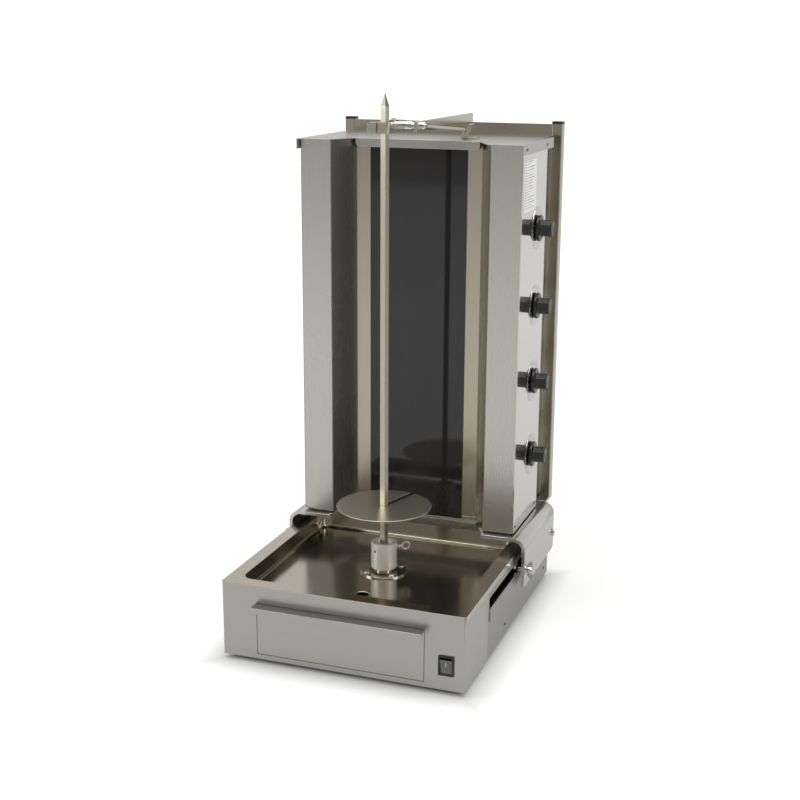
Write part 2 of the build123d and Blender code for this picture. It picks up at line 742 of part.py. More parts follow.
for side_name, side in sides.items():
    with BuildPart() as clamp_nut:
        rod(facing_right(side * nut_start), (clamp_y, clamp_z), nut_hub_radius, side * nut_hub_length)
        with BuildSketch(facing_front(clamp_y + nut_wing / 2)):
            for way in (-1, 1):
                with BuildLine():
                    wing_root = (side * (nut_start + 2.0), clamp_z + way * nut_hub_radius * 0.6)
                    wing_low = (side * (nut_start + 3.5), clamp_z + way * (nut_span - 4.0))
                    wing_tip = (side * (nut_end + 1.0), clamp_z + way * nut_span)
                    wing_high = (side * (nut_end + 2.0), clamp_z + way * (nut_span - 7.0))
                    wing_top = (side * nut_end, clamp_z + way * nut_hub_radius * 0.6)
                    Spline(wing_root, wing_low, wing_tip, wing_high, wing_top)
                    Line(wing_top, wing_root)
                make_face()
        extrude(amount=nut_wing)
        rod(facing_right(side * nut_start), (clamp_y, clamp_z), clamp_radius + running_gap,
            side * nut_hub_length, mode=Mode.SUBTRACT)
    keep(clamp_nut, f"clamp_nut_{side_name}")

# ================================================================ tower
with BuildPart() as tower_floor:
    block((-tower_half + floor_inset, tower_half - floor_inset), (wing_y + floor_inset, side_back - sheet),
          (carriage_top, tower_bottom))
    with BuildSketch(Plane.XY.offset(carriage_top)):
        Polygon(
            (-wing_inner, wing_y), (wing_inner, wing_y), (window_half, window_y), (-window_half, window_y),
            align=None,
        )
    extrude(amount=tower_lift, mode=Mode.SUBTRACT)
keep(tower_floor, "tower_floor")

# wing: flat front, bevel running back to the window, and a foot flange on the tower floor
bevel_turn = atan2(wing_inner - window_half, bevel_depth)
for side_name, side in sides.items():
    with BuildPart() as wing:
        with BuildSketch(Plane.XY.offset(tower_bottom)):
            step = sheet * tan((radians(90) - bevel_turn) / 2)
            shift = sheet / cos(bevel_turn)
            Polygon(
                (side * (tower_half - sheet), wing_y),
                (side * wing_inner, wing_y),
                (side * window_half, window_y),
                (side * (window_half + shift), window_y),
                (side * (wing_inner + step), wing_y + sheet),
                (side * (tower_half - sheet), wing_y + sheet),
                align=None,
            )
        extrude(amount=tower_height)
        block(mirrored(side, wing_inner + floor_inset, tower_half - sheet),
              (wing_y + sheet, wing_y + sheet + wing_flange), (tower_bottom, tower_bottom + sheet))
    keep(wing, f"wing_{side_name}")

# side covers: the right one carries the controls
with BuildPart() as control_panel:
    block((tower_half - sheet, tower_half), (wing_y, side_back), (tower_bottom, tower_top))
    with BuildSketch(facing_right(tower_half - sheet)):
        with Locations(*[(knob_y, height) for height in zone_z]):
            Circle(knob_shaft_radius + knob_shaft_gap)
    extrude(amount=sheet, mode=Mode.SUBTRACT)
    block((tower_half - sheet - wing_flange, tower_half - sheet),
          (wing_y + 2 * wing_flange, side_back - wing_flange), (tower_bottom, tower_bottom + sheet))
keep(control_panel, "control_panel")

with BuildPart() as left_cover:
    block((-tower_half, -tower_half + sheet), (wing_y, side_back), (tower_bottom, tower_top))
    block((-tower_half + sheet, -tower_half + sheet + wing_flange),
          (wing_y + 2 * wing_flange, side_back - wing_flange), (tower_bottom, tower_bottom + sheet))
keep(left_cover, "left_cover")

# recessed walls between the side covers and the posts, each with a flange behind its side cover
with BuildPart() as rear_walls:
    for side in (-1, 1):
        block(mirrored(side, rear_wall_half, tower_half), (side_back, side_back + sheet),
              (tower_bottom, tower_top))
        block(mirrored(side, rear_wall_half - sheet, rear_wall_half), (side_back, post_y),
              (tower_bottom, tower_top))
keep(rear_walls, "rear_walls")

# window: frame strips, sill and the ceramic glass behind them
window_high = tower_top - sheet
with BuildPart() as glass_rails:
    for side in (-1, 1):
        block(mirrored(side, glass_half, window_half), (window_y, window_y + sheet),
              (tower_bottom + sill_height, window_high))
    # the sill's ends follow the bevels
    sill_half = window_half + sill_reach * (wing_inner - window_half) / bevel_depth
    with BuildSketch(Plane.XY.offset(tower_bottom)):
        Polygon(
            (-sill_half, window_y - sill_reach), (sill_half, window_y - sill_reach), (window_half, window_y),
            (window_half, window_y + sheet), (-window_half, window_y + sheet), (-window_half, window_y),
            align=None,
        )
    extrude(amount=sill_height)
keep(glass_rails, "glass_rails")

with BuildPart() as glass_panel:
    block((-glass_half - glass_bite, glass_half + glass_bite),
          (window_y + sheet, window_y + sheet + glass_thickness), (tower_bottom + sill_height, window_high))
keep(glass_panel, "glass_panel")

# radiant elements, one serpentine per zone, with a dished reflector and insulation behind
with BuildPart() as heating_elements:
    for height in zone_z:
        run = element_half_width
        rise = element_rise
        start = Plane(
            origin=(-run - element_tail, element_y, height - 1.5 * rise), x_dir=(0, 1, 0), z_dir=(1, 0, 0),
        )
        with BuildLine(facing_front(element_y)):
            FilletPolyline(
                (-run - element_tail, height - 1.5 * rise), (run, height - 1.5 * rise),
                (run, height - 0.5 * rise), (-run, height - 0.5 * rise),
                (-run, height + 0.5 * rise), (run, height + 0.5 * rise),
                (run, height + 1.5 * rise), (-run - element_tail, height + 1.5 * rise),
                radius=rise * 0.45,
            )
        with BuildSketch(start):
            Circle(element_radius)
        sweep()
keep(heating_elements, "heating_elements")

with BuildPart() as reflector:
    with BuildSketch(Plane.XY.offset(tower_bottom + sill_height)):
        Polygon(
            (-glass_half - glass_bite, window_y + sheet + glass_thickness),
            (-glass_half - glass_bite, reflector_y + sheet),
            (glass_half + glass_bite, reflector_y + sheet),
            (glass_half + glass_bite, window_y + sheet + glass_thickness),
            (glass_half + glass_bite - sheet, window_y + sheet + glass_thickness),
            (glass_half + glass_bite - sheet, reflector_y),
            (-glass_half - glass_bite + sheet, reflector_y),
            (-glass_half - glass_bite + sheet, window_y + sheet + glass_thickness),
            align=None,
        )
    extrude(amount=window_high - tower_bottom - sill_height)
    with BuildSketch(facing_right(-glass_half - glass_bite)):
        with Locations(*[(element_y, height + 1.5 * element_rise) for height in zone_z]):
            Circle(element_radius + element_hole_gap)
        with Locations(*[(element_y, height - 1.5 * element_rise) for height in zone_z]):
            Circle(element_radius + element_hole_gap)
    extrude(amount=sheet, mode=Mode.SUBTRACT)
keep(reflector, "reflector")

with BuildPart() as insulation_board:
    block((-glass_half - glass_bite, glass_half + glass_bite),
          (reflector_y + sheet, reflector_y + sheet + insulation_thickness),
          (tower_bottom + sill_height, window_high))
keep(insulation_board, "insulation_board")

# top cover: follows the wings and the window, with side flanges and a lip over the glass
with BuildPart() as top_cover:
    cover_half = tower_half + cover_side_overhang
    lip_y = window_y - cover_lip_setback
    lip_half = window_half - cover_lip_inset
    with BuildSketch(Plane.XY.offset(tower_top)):
        front_y = wing_y - cover_front_overhang
        Polygon(
            (-cover_half, front_y), (-wing_inner + cover_front_inset, front_y), (-lip_half, lip_y),
            (lip_half, lip_y), (wing_inner - cover_front_inset, front_y), (cover_half, front_y),
            (cover_half, wing_y + cover_flange_end),
            (post_in, wing_y + cover_flange_end), (post_in, post_y), (-post_in, post_y),
            (-post_in, wing_y + cover_flange_end), (-cover_half, wing_y + cover_flange_end),
            align=None,
        )
    extrude(amount=sheet)
    for side in (-1, 1):
        block(mirrored(side, cover_half - sheet, cover_half), (front_y, wing_y + cover_flange_end),
              (cover_top - cover_flange, tower_top))
    with BuildSketch(facing_front(lip_y + sheet)):
        Polygon(
            (-lip_half, tower_top), (-lip_half, cover_top - cover_lip + cover_lip_chamfer),
            (-lip_half + cover_lip_chamfer, cover_top - cover_lip),
            (lip_half - cover_lip_chamfer, cover_top - cover_lip),
            (lip_half, cover_top - cover_lip + cover_lip_chamfer), (lip_half, tower_top), align=None,
        )
    extrude(amount=sheet)
keep(top_cover, "top_cover")

# square tube posts, their plastic caps and the rear cover between them
post_mid = post_y + post_size / 2
with BuildPart() as rear_posts:
    for side in (-1, 1):
        with BuildSketch(Plane.XY.offset(carriage_top)):
            with Locations((side * (post_in + post_size / 2), post_mid)):
                RectangleRounded(post_size, post_size, 2.0)
                RectangleRounded(post_size - 2 * post_wall, post_size - 2 * post_wall, 0.5, mode=Mode.SUBTRACT)
        extrude(amount=post_height)
keep(rear_posts, "rear_posts")

with BuildPart() as post_caps:
    for side in (-1, 1):
        with BuildSketch(Plane.XY.offset(post_top)):
            with Locations((side * (post_in + post_size / 2), post_mid)):
                RectangleRounded(post_size, post_size, 2.0)
        extrude(amount=post_cap)
        with BuildSketch(Plane.XY.offset(post_top)):
            with Locations((side * (post_in + post_size / 2), post_mid)):
                RectangleRounded(post_size - 2 * post_wall, post_size - 2 * post_wall, 0.5)
        extrude(amount=-cap_grip)
keep(post_caps, "post_caps")

with BuildPart() as rear_cover:
    block((-post_in, post_in), (post_y, post_y + sheet), (carriage_top, post_top))
    with BuildSketch(facing_front(post_y + sheet)):
        for height in (tower_bottom + tower_height * 0.3, tower_bottom + tower_height * 0.75):
            with Locations((0, height)):
                with GridLocations(louvre_width * 1.3, louvre_pitch, 2, louvre_rows):
                    SlotOverall(louvre_width, louvre_height)
    extrude(amount=sheet, mode=Mode.SUBTRACT)
keep(rear_cover, "rear_cover")

# ================================================================ controls
with BuildPart() as energy_regulators:
    inside = tower_half - sheet
    for height in zone_z:
        block((inside - regulator_depth, inside), (knob_y - regulator_size / 2, knob_y + regulator_size / 2),
              (height - regulator_size / 2, height + regulator_size / 2))
        rod(facing_right(inside - regulator_depth + shaft_bore_end), (knob_y, height),
            knob_shaft_radius + running_gap, regulator_depth, mode=Mode.SUBTRACT)
keep(energy_regulators, "energy_regulators")

with BuildPart() as dial_plates:
    for height in zone_z:
        with BuildSketch(facing_right(tower_half)):
            with Locations((knob_y, height)):
                Circle(dial_radius)
                Circle(knob_shaft_radius + knob_shaft_gap, mode=Mode.SUBTRACT)
        extrude(amount=dial_thickness)
keep(dial_plates, "dial_plates")

with BuildPart() as rating_plate:
    plate_top = tower_top - plate_top_gap
    block((tower_half, tower_half + plate_thickness),
          (wing_y + plate_front_gap, wing_y + plate_front_gap + plate_width),
          (plate_top - plate_height, plate_top))
keep(rating_plate, "rating_plate")

# zone knobs: skirt, round grip with a finger bar across its end, and a shaft into the regulator
skirt_x = tower_half + knob_gap
grip_x = skirt_x + knob_skirt
for number, height in enumerate(zone_z, start=1):
    with BuildPart() as knob:
        rod(facing_right(skirt_x), (knob_y, height), knob_skirt_radius, knob_skirt)
        fillet(knob.edges().filter_by(GeomType.CIRCLE), knob_skirt_round)
        rod(facing_right(grip_x), (knob_y, height), knob_grip_radius, knob_grip_length)
        fillet(knob.faces().sort_by(Axis.X)[-1].edges(), knob_grip_round)
        rod(facing_right(inside - regulator_depth + knob_shaft_end), (knob_y, height), knob_shaft_radius,
            regulator_depth - knob_shaft_end + sheet + knob_gap + knob_shaft_bite)
    keep(knob, f"knob_{number}")

# ================================================================ spit drive
with BuildPart() as spit_cup:
    rod(Plane.XY.offset(cup_bottom), (0, spit_y), cup_radius, cup_height)
    fillet(spit_cup.edges().filter_by(GeomType.CIRCLE), cup_round)
    rod(Plane.XY.offset(socket_top), (0, spit_y), cup_recess_radius, cup_recess_depth, mode=Mode.SUBTRACT)
    rod(Plane.XY.offset(shaft_bottom + shaft_end_gap), (0, spit_y), shaft_radius, cup_bottom - shaft_bottom)
    rod(Plane.XY.offset(tenon_bottom), (0, spit_y), tenon_radius + running_gap, tenon_length,
        mode=Mode.SUBTRACT)
    thumb_plane = Plane(
        origin=(0, spit_y, thumb_z), x_dir=(-sin(radians(thumb_turn)), cos(radians(thumb_turn)), 0),
        z_dir=(cos(radians(thumb_turn)), sin(radians(thumb_turn)), 0),
    )
    rod(thumb_plane, (0, 0), thumb_radius + running_gap, cup_radius, mode=Mode.SUBTRACT)
    screw_way = radians(cup_screw_turn)
    pin_plane = Plane(
        origin=(0, spit_y, cup_bottom + cup_screw_rise), x_dir=(-sin(screw_way), cos(screw_way), 0),
        z_dir=(cos(screw_way), sin(screw_way), 0),
    )
    rod(pin_plane, (0, 0), cup_screw_radius, cup_radius, mode=Mode.SUBTRACT)
keep(spit_cup, "spit_cup")

thumb_start = tenon_radius + thumb_end_gap
with BuildPart() as thumb_screw:
    with BuildSketch(thumb_plane.offset(thumb_start)):
        Circle(thumb_radius)
    extrude(amount=cup_radius - thumb_start + thumb_length - thumb_ring_radius)
    ring_centre = cup_radius + thumb_length
    ring_x = ring_centre * cos(radians(thumb_turn))
    ring_y = spit_y + ring_centre * sin(radians(thumb_turn))
    ring_plane = Plane(
        origin=(ring_x, ring_y, thumb_z), x_dir=(cos(radians(thumb_turn)), sin(radians(thumb_turn)), 0),
        z_dir=(-sin(radians(thumb_turn)), cos(radians(thumb_turn)), 0),
    )
    with Locations(ring_plane):
        Torus(thumb_ring_radius, thumb_ring_wire)
keep(thumb_screw, "thumb_screw")

bar_bottom = socket_top
spit_tip = post_top + spit_tip_rise
bar_top = spit_tip - spit_point
with BuildPart() as spit_bar:
    rod(Plane.XY.offset(tenon_bottom), (0, spit_y), tenon_radius, tenon_length)
    with BuildSketch(Plane.XY.offset(bar_bottom)):
        with Locations(Location((0, spit_y), spit_turn)):
            Rectangle(spit_size, spit_size)
    extrude(amount=bar_top - bar_bottom)
    with BuildSketch(Plane.XY.offset(bar_top)):
        with Locations(Location((0, spit_y), spit_turn)):
            Rectangle(spit_size, spit_size)
    extrude(amount=spit_point, taper=degrees(atan2(spit_size / 2 - spit_tip_width / 2, spit_point)))
    pin_z = disc_height - disc_pin_radius - disc_pin_gap
    across = Plane(
        origin=(0, spit_y, pin_z), x_dir=(0, 0, 1),
        z_dir=(cos(radians(spit_turn)), sin(radians(spit_turn)), 0),
    )
    rod(across.offset(-spit_size), (0, 0), disc_pin_radius + running_gap, 2 * spit_size, mode=Mode.SUBTRACT)
keep(spit_bar, "spit_bar")

with BuildPart() as disc_pin:
    with BuildSketch(across.offset(-disc_pin_length / 2)):
        Circle(disc_pin_radius)
    extrude(amount=disc_pin_length)
keep(disc_pin, "disc_pin")

with BuildPart() as spit_disc:
    with BuildSketch(Plane.XY.offset(disc_height)):
        with Locations((0, spit_y)):
            Circle(disc_radius)
        slot_width = spit_size + 2 * disc_slot_gap
        reach = disc_radius + 2
        slot_mid_r = (reach - slot_width / 2) / 2
        slot_dir = radians(disc_slot_turn)
        slot_mid = (slot_mid_r * cos(slot_dir), spit_y + slot_mid_r * sin(slot_dir))
        with Locations(Location(slot_mid, disc_slot_turn)):
            Rectangle(reach + slot_width / 2, slot_width, mode=Mode.SUBTRACT)
    extrude(amount=disc_thickness)
keep(spit_disc, "spit_disc")

# ================================================================ upper spit holder
strap_low = arm_mid - strap_height / 2
strap_high = arm_mid + strap_height / 2
strap_left = -strap_inner / 2
bolt_y = strap_back - strap_thickness - holder_bolt_inset
knuckle_radius = latch_pin_radius + knuckle_wall
latch_x = strap_left - knuckle_radius
latch_y = strap_back - strap_thickness / 2
knuckle_mid = strap_low + strap_height / 2
# strap: a right wall, a front wall across the spit and a rear wall, open on the left for the latch
with BuildPart() as spit_holder:
    block((strap_left, strap_out), (strap_front, strap_front + strap_thickness), (strap_low, strap_high))
    block((strap_left, strap_out), (strap_back - strap_thickness, strap_back), (strap_low, strap_high))
    block((strap_out - strap_thickness, strap_out), (strap_front, strap_back), (strap_low, strap_high))
    fillet(spit_holder.edges().filter_by(Axis.Z).group_by(Axis.X)[-1], strap_thickness)
    rod(facing_right(strap_out - strap_thickness), (bolt_y, arm_mid), holder_bolt_radius + running_gap,
        strap_thickness, mode=Mode.SUBTRACT)
    rod(Plane.XY.offset(strap_low), (latch_x, latch_y), knuckle_radius, strap_height / 2 - latch_gap)
    block((latch_x, strap_left), (strap_back - strap_thickness, strap_back),
          (strap_low, knuckle_mid - latch_gap))
    rod(Plane.XY.offset(strap_low), (latch_x, latch_y), latch_pin_radius, strap_height, mode=Mode.SUBTRACT)
keep(spit_holder, "spit_holder")

with BuildPart() as latch_pin:
    rod(Plane.XY.offset(strap_low), (latch_x, latch_y), latch_pin_radius, strap_height + latch_gap)
    rod(Plane.XY.offset(strap_high + latch_gap), (latch_x, latch_y), latch_pin_radius + pin_head_grip,
        pin_head_grip)
keep(latch_pin, "latch_pin")

# latch: closes the left side of the strap, hinged on the pin, with a rounded finger tab in front
with BuildPart() as holder_latch:
    latch_front = strap_front + latch_gap
    block((latch_x - strap_thickness / 2, latch_x + strap_thickness / 2),
          (latch_front, latch_y - knuckle_radius - 2 * latch_gap), (strap_low, strap_high))
    block((latch_x - latch_tab, latch_x), (latch_front, latch_front + strap_thickness),
          (strap_low, strap_high))
    fillet(holder_latch.edges().filter_by(Axis.Y).group_by(Axis.X)[0], strap_height * 0.35)
    block((latch_x - strap_thickness / 2, latch_x + strap_thickness / 2), (latch_front, latch_y),
          (knuckle_mid, strap_high))
    rod(Plane.XY.offset(knuckle_mid), (latch_x, latch_y), knuckle_radius, strap_height / 2)
    rod(Plane.XY.offset(knuckle_mid), (latch_x, latch_y), latch_pin_radius + running_gap, strap_height / 2,
        mode=Mode.SUBTRACT)
keep(holder_latch, "holder_latch")

# arm: a flat bar on edge from the rear cover's top to the strap, with a foot folded down behind
arm_front = face_y + arm_front_setback
with BuildPart() as support_arm:
    block((arm_x - arm_thickness / 2, arm_x + arm_thickness / 2),
          (arm_front, post_y + sheet + arm_foot_thickness), (arm_bottom, arm_bottom + arm_height))
    block((arm_x - arm_foot_length / 2, arm_x + arm_foot_length / 2),
          (post_y + sheet, post_y + sheet + arm_foot_thickness),
          (arm_bottom - arm_foot_length, arm_bottom))
    rod(facing_right(arm_x - arm_thickness / 2), (bolt_y, arm_mid), holder_bolt_radius + running_gap,
        arm_thickness, mode=Mode.SUBTRACT)
keep(support_arm, "support_arm")

with BuildPart() as holder_bolt:
    head_x = strap_out - strap_thickness - holder_head_height
    rod(facing_right(head_x), (bolt_y, arm_mid), holder_head_radius, holder_head_height)
    rod(facing_right(head_x), (bolt_y, arm_mid), holder_bolt_radius,
        arm_x + arm_thickness / 2 + holder_nut_height + holder_bolt_tail - head_x)
    collar_end = arm_x - arm_thickness / 2
    rod(facing_right(strap_out), (bolt_y, arm_mid), collar_radius, (collar_end - strap_out) * collar_step)
    rod(facing_right(strap_out), (bolt_y, arm_mid), collar_neck_radius, collar_end - strap_out)
    rod(facing_right(arm_x + arm_thickness / 2), (bolt_y, arm_mid), holder_nut_radius, holder_nut_height)
keep(holder_bolt, "holder_bolt")

# strut: a round rod from the arm back to a folded bracket on the top cover
strut_start = Vector(arm_x, arm_front + strut_lead, arm_bottom + strut_radius + strut_seat)
strut_end = Vector(strut_x, face_y + strut_setback, cover_top + strut_rise)
strut_way = strut_end - strut_start
with BuildPart() as arm_strut:
    with BuildSketch(Plane(origin=strut_start, z_dir=strut_way)):
        Circle(strut_radius)
    extrude(amount=strut_way.length)
    block((arm_x - arm_height, arm_x + arm_thickness / 2), (arm_front, strut_end.Y),
          (cover_top, arm_bottom + 2 * arm_height), mode=Mode.SUBTRACT)
keep(arm_strut, "arm_strut")

with BuildPart() as strut_bracket:
    with BuildSketch(facing_front(strut_end.Y + bracket_width)):
        with BuildLine():
            left_x = strut_x - 4.0
            FilletPolyline(
                (left_x, cover_top), (left_x + bracket_foot, cover_top),
                (left_x + bracket_foot, cover_top + bracket_thickness),
                (left_x + bracket_thickness, cover_top + bracket_thickness),
                (left_x + bracket_lean + bracket_thickness, cover_top + bracket_rise),
                (left_x + bracket_lean, cover_top + bracket_rise + 1),
                (left_x - bracket_thickness * 0.4, cover_top + bracket_thickness),
                (left_x, cover_top), radius=0.6,
            )
        make_face()
    extrude(amount=bracket_width)
keep(strut_bracket, "strut_bracket")
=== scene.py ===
# %% [markdown]
# # A vertical rotisserie broiler
# The machine is a bent-sheet stainless cabinet with a drip tray, a driven spit and a heater tower with
# four zones. Its exact shape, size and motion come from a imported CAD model, which is loaded here as a
# fixed frame. Blender adds what a CAD solid lacks: softened sheet edges, screw heads, printed marks,
# brushed steel, plastic and glass. Loading the frame first means that every later position can be read
# from it instead of being typed in.

# %% Load the frame
import bmesh
import bpy
import json
from math import cos, pi, radians, sin
from mathutils import Matrix, Vector


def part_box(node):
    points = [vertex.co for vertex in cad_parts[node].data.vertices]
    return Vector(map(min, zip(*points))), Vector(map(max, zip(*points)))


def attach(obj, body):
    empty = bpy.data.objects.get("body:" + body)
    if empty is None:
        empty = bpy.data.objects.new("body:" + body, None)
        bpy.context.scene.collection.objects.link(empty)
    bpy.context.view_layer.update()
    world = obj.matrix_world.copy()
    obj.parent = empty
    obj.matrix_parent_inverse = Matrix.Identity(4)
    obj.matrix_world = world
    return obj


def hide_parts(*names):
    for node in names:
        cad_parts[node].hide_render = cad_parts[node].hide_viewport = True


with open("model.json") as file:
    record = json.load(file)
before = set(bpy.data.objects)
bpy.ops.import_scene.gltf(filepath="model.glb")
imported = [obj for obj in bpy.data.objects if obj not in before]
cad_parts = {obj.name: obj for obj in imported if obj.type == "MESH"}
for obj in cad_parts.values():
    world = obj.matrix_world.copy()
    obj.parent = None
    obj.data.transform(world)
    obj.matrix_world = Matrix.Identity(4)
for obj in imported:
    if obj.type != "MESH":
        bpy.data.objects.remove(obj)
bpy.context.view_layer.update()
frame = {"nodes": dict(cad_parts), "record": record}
mm = 0.001

# %% [markdown]
# ## A place to stand
# A product like this is shown on a white sweep: a floor that curves up into a backdrop with no visible
# corner. The sweep could be a flat plane with a white world, but then the sky would be white too, and
# the polished tray would lose its dark reflections. A curved sheet keeps the floor white and leaves the
# ceiling dark.

# %% Floor and backdrop
scene = bpy.context.scene


def new_object(name, mesh):
    """put a mesh into the scene as an object at the origin"""
    made = bpy.data.objects.new(name, mesh)
    scene.collection.objects.link(made)
    return made


def sweep_sheet():
    """a wide floor that bends up behind the machine"""
    rows = [(-7.0, 0.0), (3.2, 0.0)]
    rows += [(3.2 + 1.6 * sin(radians(a)), 1.6 - 1.6 * cos(radians(a))) for a in range(6, 91, 6)]
    rows += [(4.8, 6.0)]
    points = [(x, y, z) for y, z in rows for x in (-9.0, 9.0)]
    faces = [(2 * n, 2 * n + 1, 2 * n + 3, 2 * n + 2) for n in range(len(rows) - 1)]
    mesh = bpy.data.meshes.new("floor")
    mesh.from_pydata(points, [], faces)
    mesh.shade_smooth()
    return new_object("floor", mesh)


floor = sweep_sheet()
print("floor sheet reaches", [round(v, 2) for v in floor.dimensions])

# %% [markdown]
# ## The camera
# The view is from the right of the front and a little above, with a moderate lens, so the uprights stay
# nearly parallel. The camera could be aimed with a Track To constraint, but a matrix made from its
# viewing direction also holds the small roll, and it can be read and checked.

# %% Camera
eye = Vector((0.778475, -2.16298, 1.017376))
ahead = Vector((-0.32637, 0.90956, -0.25727)).normalized()
level = ahead.cross(Vector((0, 0, 1))).normalized()
upward = level.cross(ahead)
roll = radians(0.31)
right = cos(roll) * level + sin(roll) * upward
above = cos(roll) * upward - sin(roll) * level
camera_data = bpy.data.cameras.new("camera")
camera_data.sensor_width = 36.0
camera_data.lens = 60.73
camera_data.clip_end = 50.0
camera = bpy.data.objects.new("camera", camera_data)
turned = Matrix((right, above, -ahead)).transposed()
camera.matrix_world = Matrix.Translation(eye) @ turned.to_4x4()
scene.collection.objects.link(camera)
scene.camera = camera
scene.view_settings.view_transform = "Standard"
print("camera stands", round((eye - Vector((0, 0, 0.45))).length, 2), "m from the machine")

# %% [markdown]
# ## Soft studio light
# Bare steel shows what surrounds it, so the lights matter as much as the material. A large soft box
# overhead and one on the left give broad highlights. Small lamps would give hard dots instead. The dark
# world is what the tray and the disc mirror between the soft boxes.

# %% Lights and world
world = bpy.data.worlds.new("studio")
world.use_nodes = True
world.node_tree.nodes["Background"].inputs["Color"].default_value = (0.62, 0.60, 0.57, 1)
world.node_tree.nodes["Background"].inputs["Strength"].default_value = 0.55
scene.world = world


def soft_box(name, place, aim, wide, high, power):
    """a rectangular area light that points at aim"""
    data = bpy.data.lights.new(name, "AREA")
    data.shape = "RECTANGLE"
    data.size = wide
    data.size_y = high
    data.energy = power
    lamp = bpy.data.objects.new(name, data)
    lamp.location = place
    lamp.rotation_euler = (Vector(aim) - Vector(place)).to_track_quat("-Z", "Y").to_euler()
    scene.collection.objects.link(lamp)
    return lamp


soft_box("light_top", (0.0, -0.2, 3.0), (0, 0, 0.3), 2.6, 2.6, 85)
soft_box("light_left", (-2.6, -1.6, 1.7), (0, 0, 0.4), 1.4, 2.0, 26)
soft_box("light_right", (2.8, -0.6, 1.6), (0, 0, 0.4), 1.2, 1.8, 14)

# %% [markdown]
# ## Writing shader maths as plain sums
# A procedural material is a graph of nodes. Adding each node by hand takes many lines and hides the
# idea, so one small class wraps a socket and turns Python's operators into Math nodes. One method adds
# any other node.

# %% The shader helper
class Wire:
    """one value in a material's graph"""
    tree = None

    def __init__(self, socket):
        self.socket = socket

    @staticmethod
    def join(value, socket):
        """feed a socket with another wire or with a plain value"""
        if isinstance(value, Wire):
            Wire.tree.links.new(value.socket, socket)
        else:
            socket.default_value = value

    @staticmethod
    def node(kind, inputs, output=0, **settings):
        """add any node, fill its inputs by name or number, and return one of its outputs"""
        made = Wire.tree.nodes.new(kind)
        for key, value in settings.items():
            setattr(made, key, value)
        for key, value in inputs.items():
            Wire.join(value, made.inputs[key])
        return Wire(made.outputs[output])

    def math(self, operation, *others):
        """a Math node with this value first"""
        return Wire.node("ShaderNodeMath", dict(enumerate((self, *others))), operation=operation)

    def __add__(self, other):
        return self.math("ADD", other)

    def __sub__(self, other):
        return self.math("SUBTRACT", other)

    def __mul__(self, other):
        return self.math("MULTIPLY", other)

    def __truediv__(self, other):
        return self.math("DIVIDE", other)

    def __rsub__(self, other):
        return Wire.node("ShaderNodeMath", {0: other, 1: self}, operation="SUBTRACT")

    def __rtruediv__(self, other):
        return Wire.node("ShaderNodeMath", {0: other, 1: self}, operation="DIVIDE")

    __radd__ = __add__
    __rmul__ = __mul__


def place():
    """a point of the object in metres, in its own coordinates"""
    return Wire.node("ShaderNodeTexCoord", {}, "Object")


def axes(point):
    """the three coordinates of a point"""
    split = Wire.tree.nodes.new("ShaderNodeSeparateXYZ")
    Wire.join(point, split.inputs[0])
    return [Wire(output) for output in split.outputs]


def noise(stretch, detail=3.0, rough=0.55):
    """smooth random values from 0 to 1, stretched by one factor per axis"""
    spread = Wire.node("ShaderNodeVectorMath", {0: place(), 1: stretch}, operation="MULTIPLY")
    settings = {"Vector": spread, "Scale": 1.0, "Detail": detail, "Roughness": rough}
    return Wire.node("ShaderNodeTexNoise", settings)


def blend(amount, low, high):
    """a colour between two colours"""
    return Wire.node("ShaderNodeMix", {0: amount, 6: low, 7: high}, 2, data_type="RGBA")


def bump(height, strength, distance):
    """a normal that is tilted by a height"""
    return Wire.node("ShaderNodeBump", {"Height": height, "Strength": strength, "Distance": distance})


def material(name, **inputs):
    """a Principled material, given as values or wires for its sockets"""
    shader = Wire.tree.nodes["Principled BSDF"]
    for key, value in inputs.items():
        Wire.join(value, shader.inputs[key.replace("_", " ")])
    print("material", name, "has", len(Wire.tree.nodes), "nodes")


def start(name):
    """open a new material, so that wires are added to its graph"""
    made = bpy.data.materials.new(name)
    made.use_nodes = True
    Wire.tree = made.node_tree
    return made


# %% [markdown]
# ## The white of the sweep
# A real sweep is lit until it is just white, and only the contact shadow stays grey. Lamps alone would
# leave its far end dim, so the sheet also glows: weakly near the machine, where the shadow must show,
# and more further out. Seen in a mirror it glows less, as a sweep does that is lit from the camera's
# side only. The glow ends at the cabinet's outline, because light can't get into the thin gap under the
# cabinet, and that gap is the darkest line.

# %% Sweep material
floor.data.materials.append(start("sweep"))
x, y, z = axes(place())
distance = (x * x + y * y).math("SQRT")
seen = Wire.node("ShaderNodeLightPath", {}, "Is Camera Ray")
far = ((distance - 0.8) / 2.2).math("MAXIMUM", 0.0).math("MINIMUM", 1.0)
cabinet_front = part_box("front_panel")[0]
cabinet_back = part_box("rear_panel")[1]
beside = x.math("ABSOLUTE") - abs(cabinet_front.x)
cabinet_middle = (cabinet_front.y + cabinet_back.y) / 2
beyond = (y - cabinet_middle).math("ABSOLUTE") - (cabinet_back.y - cabinet_middle)
outside = beside.math("MAXIMUM", beyond)
lit = ((outside + 0.012) / 0.060).math("MAXIMUM", 0.0).math("MINIMUM", 1.0).math("POWER", 0.6)
glow = (far * 0.36 + 0.58) * seen * lit + (far * 0.26 + 0.26) * (1 - seen)
white = Wire.node("ShaderNodeCombineColor", {0: glow, 1: glow, 2: glow})
material("sweep", Base_Color=(0.40, 0.40, 0.40, 1), Roughness=0.9, Emission_Color=white,
         Emission_Strength=1.0)

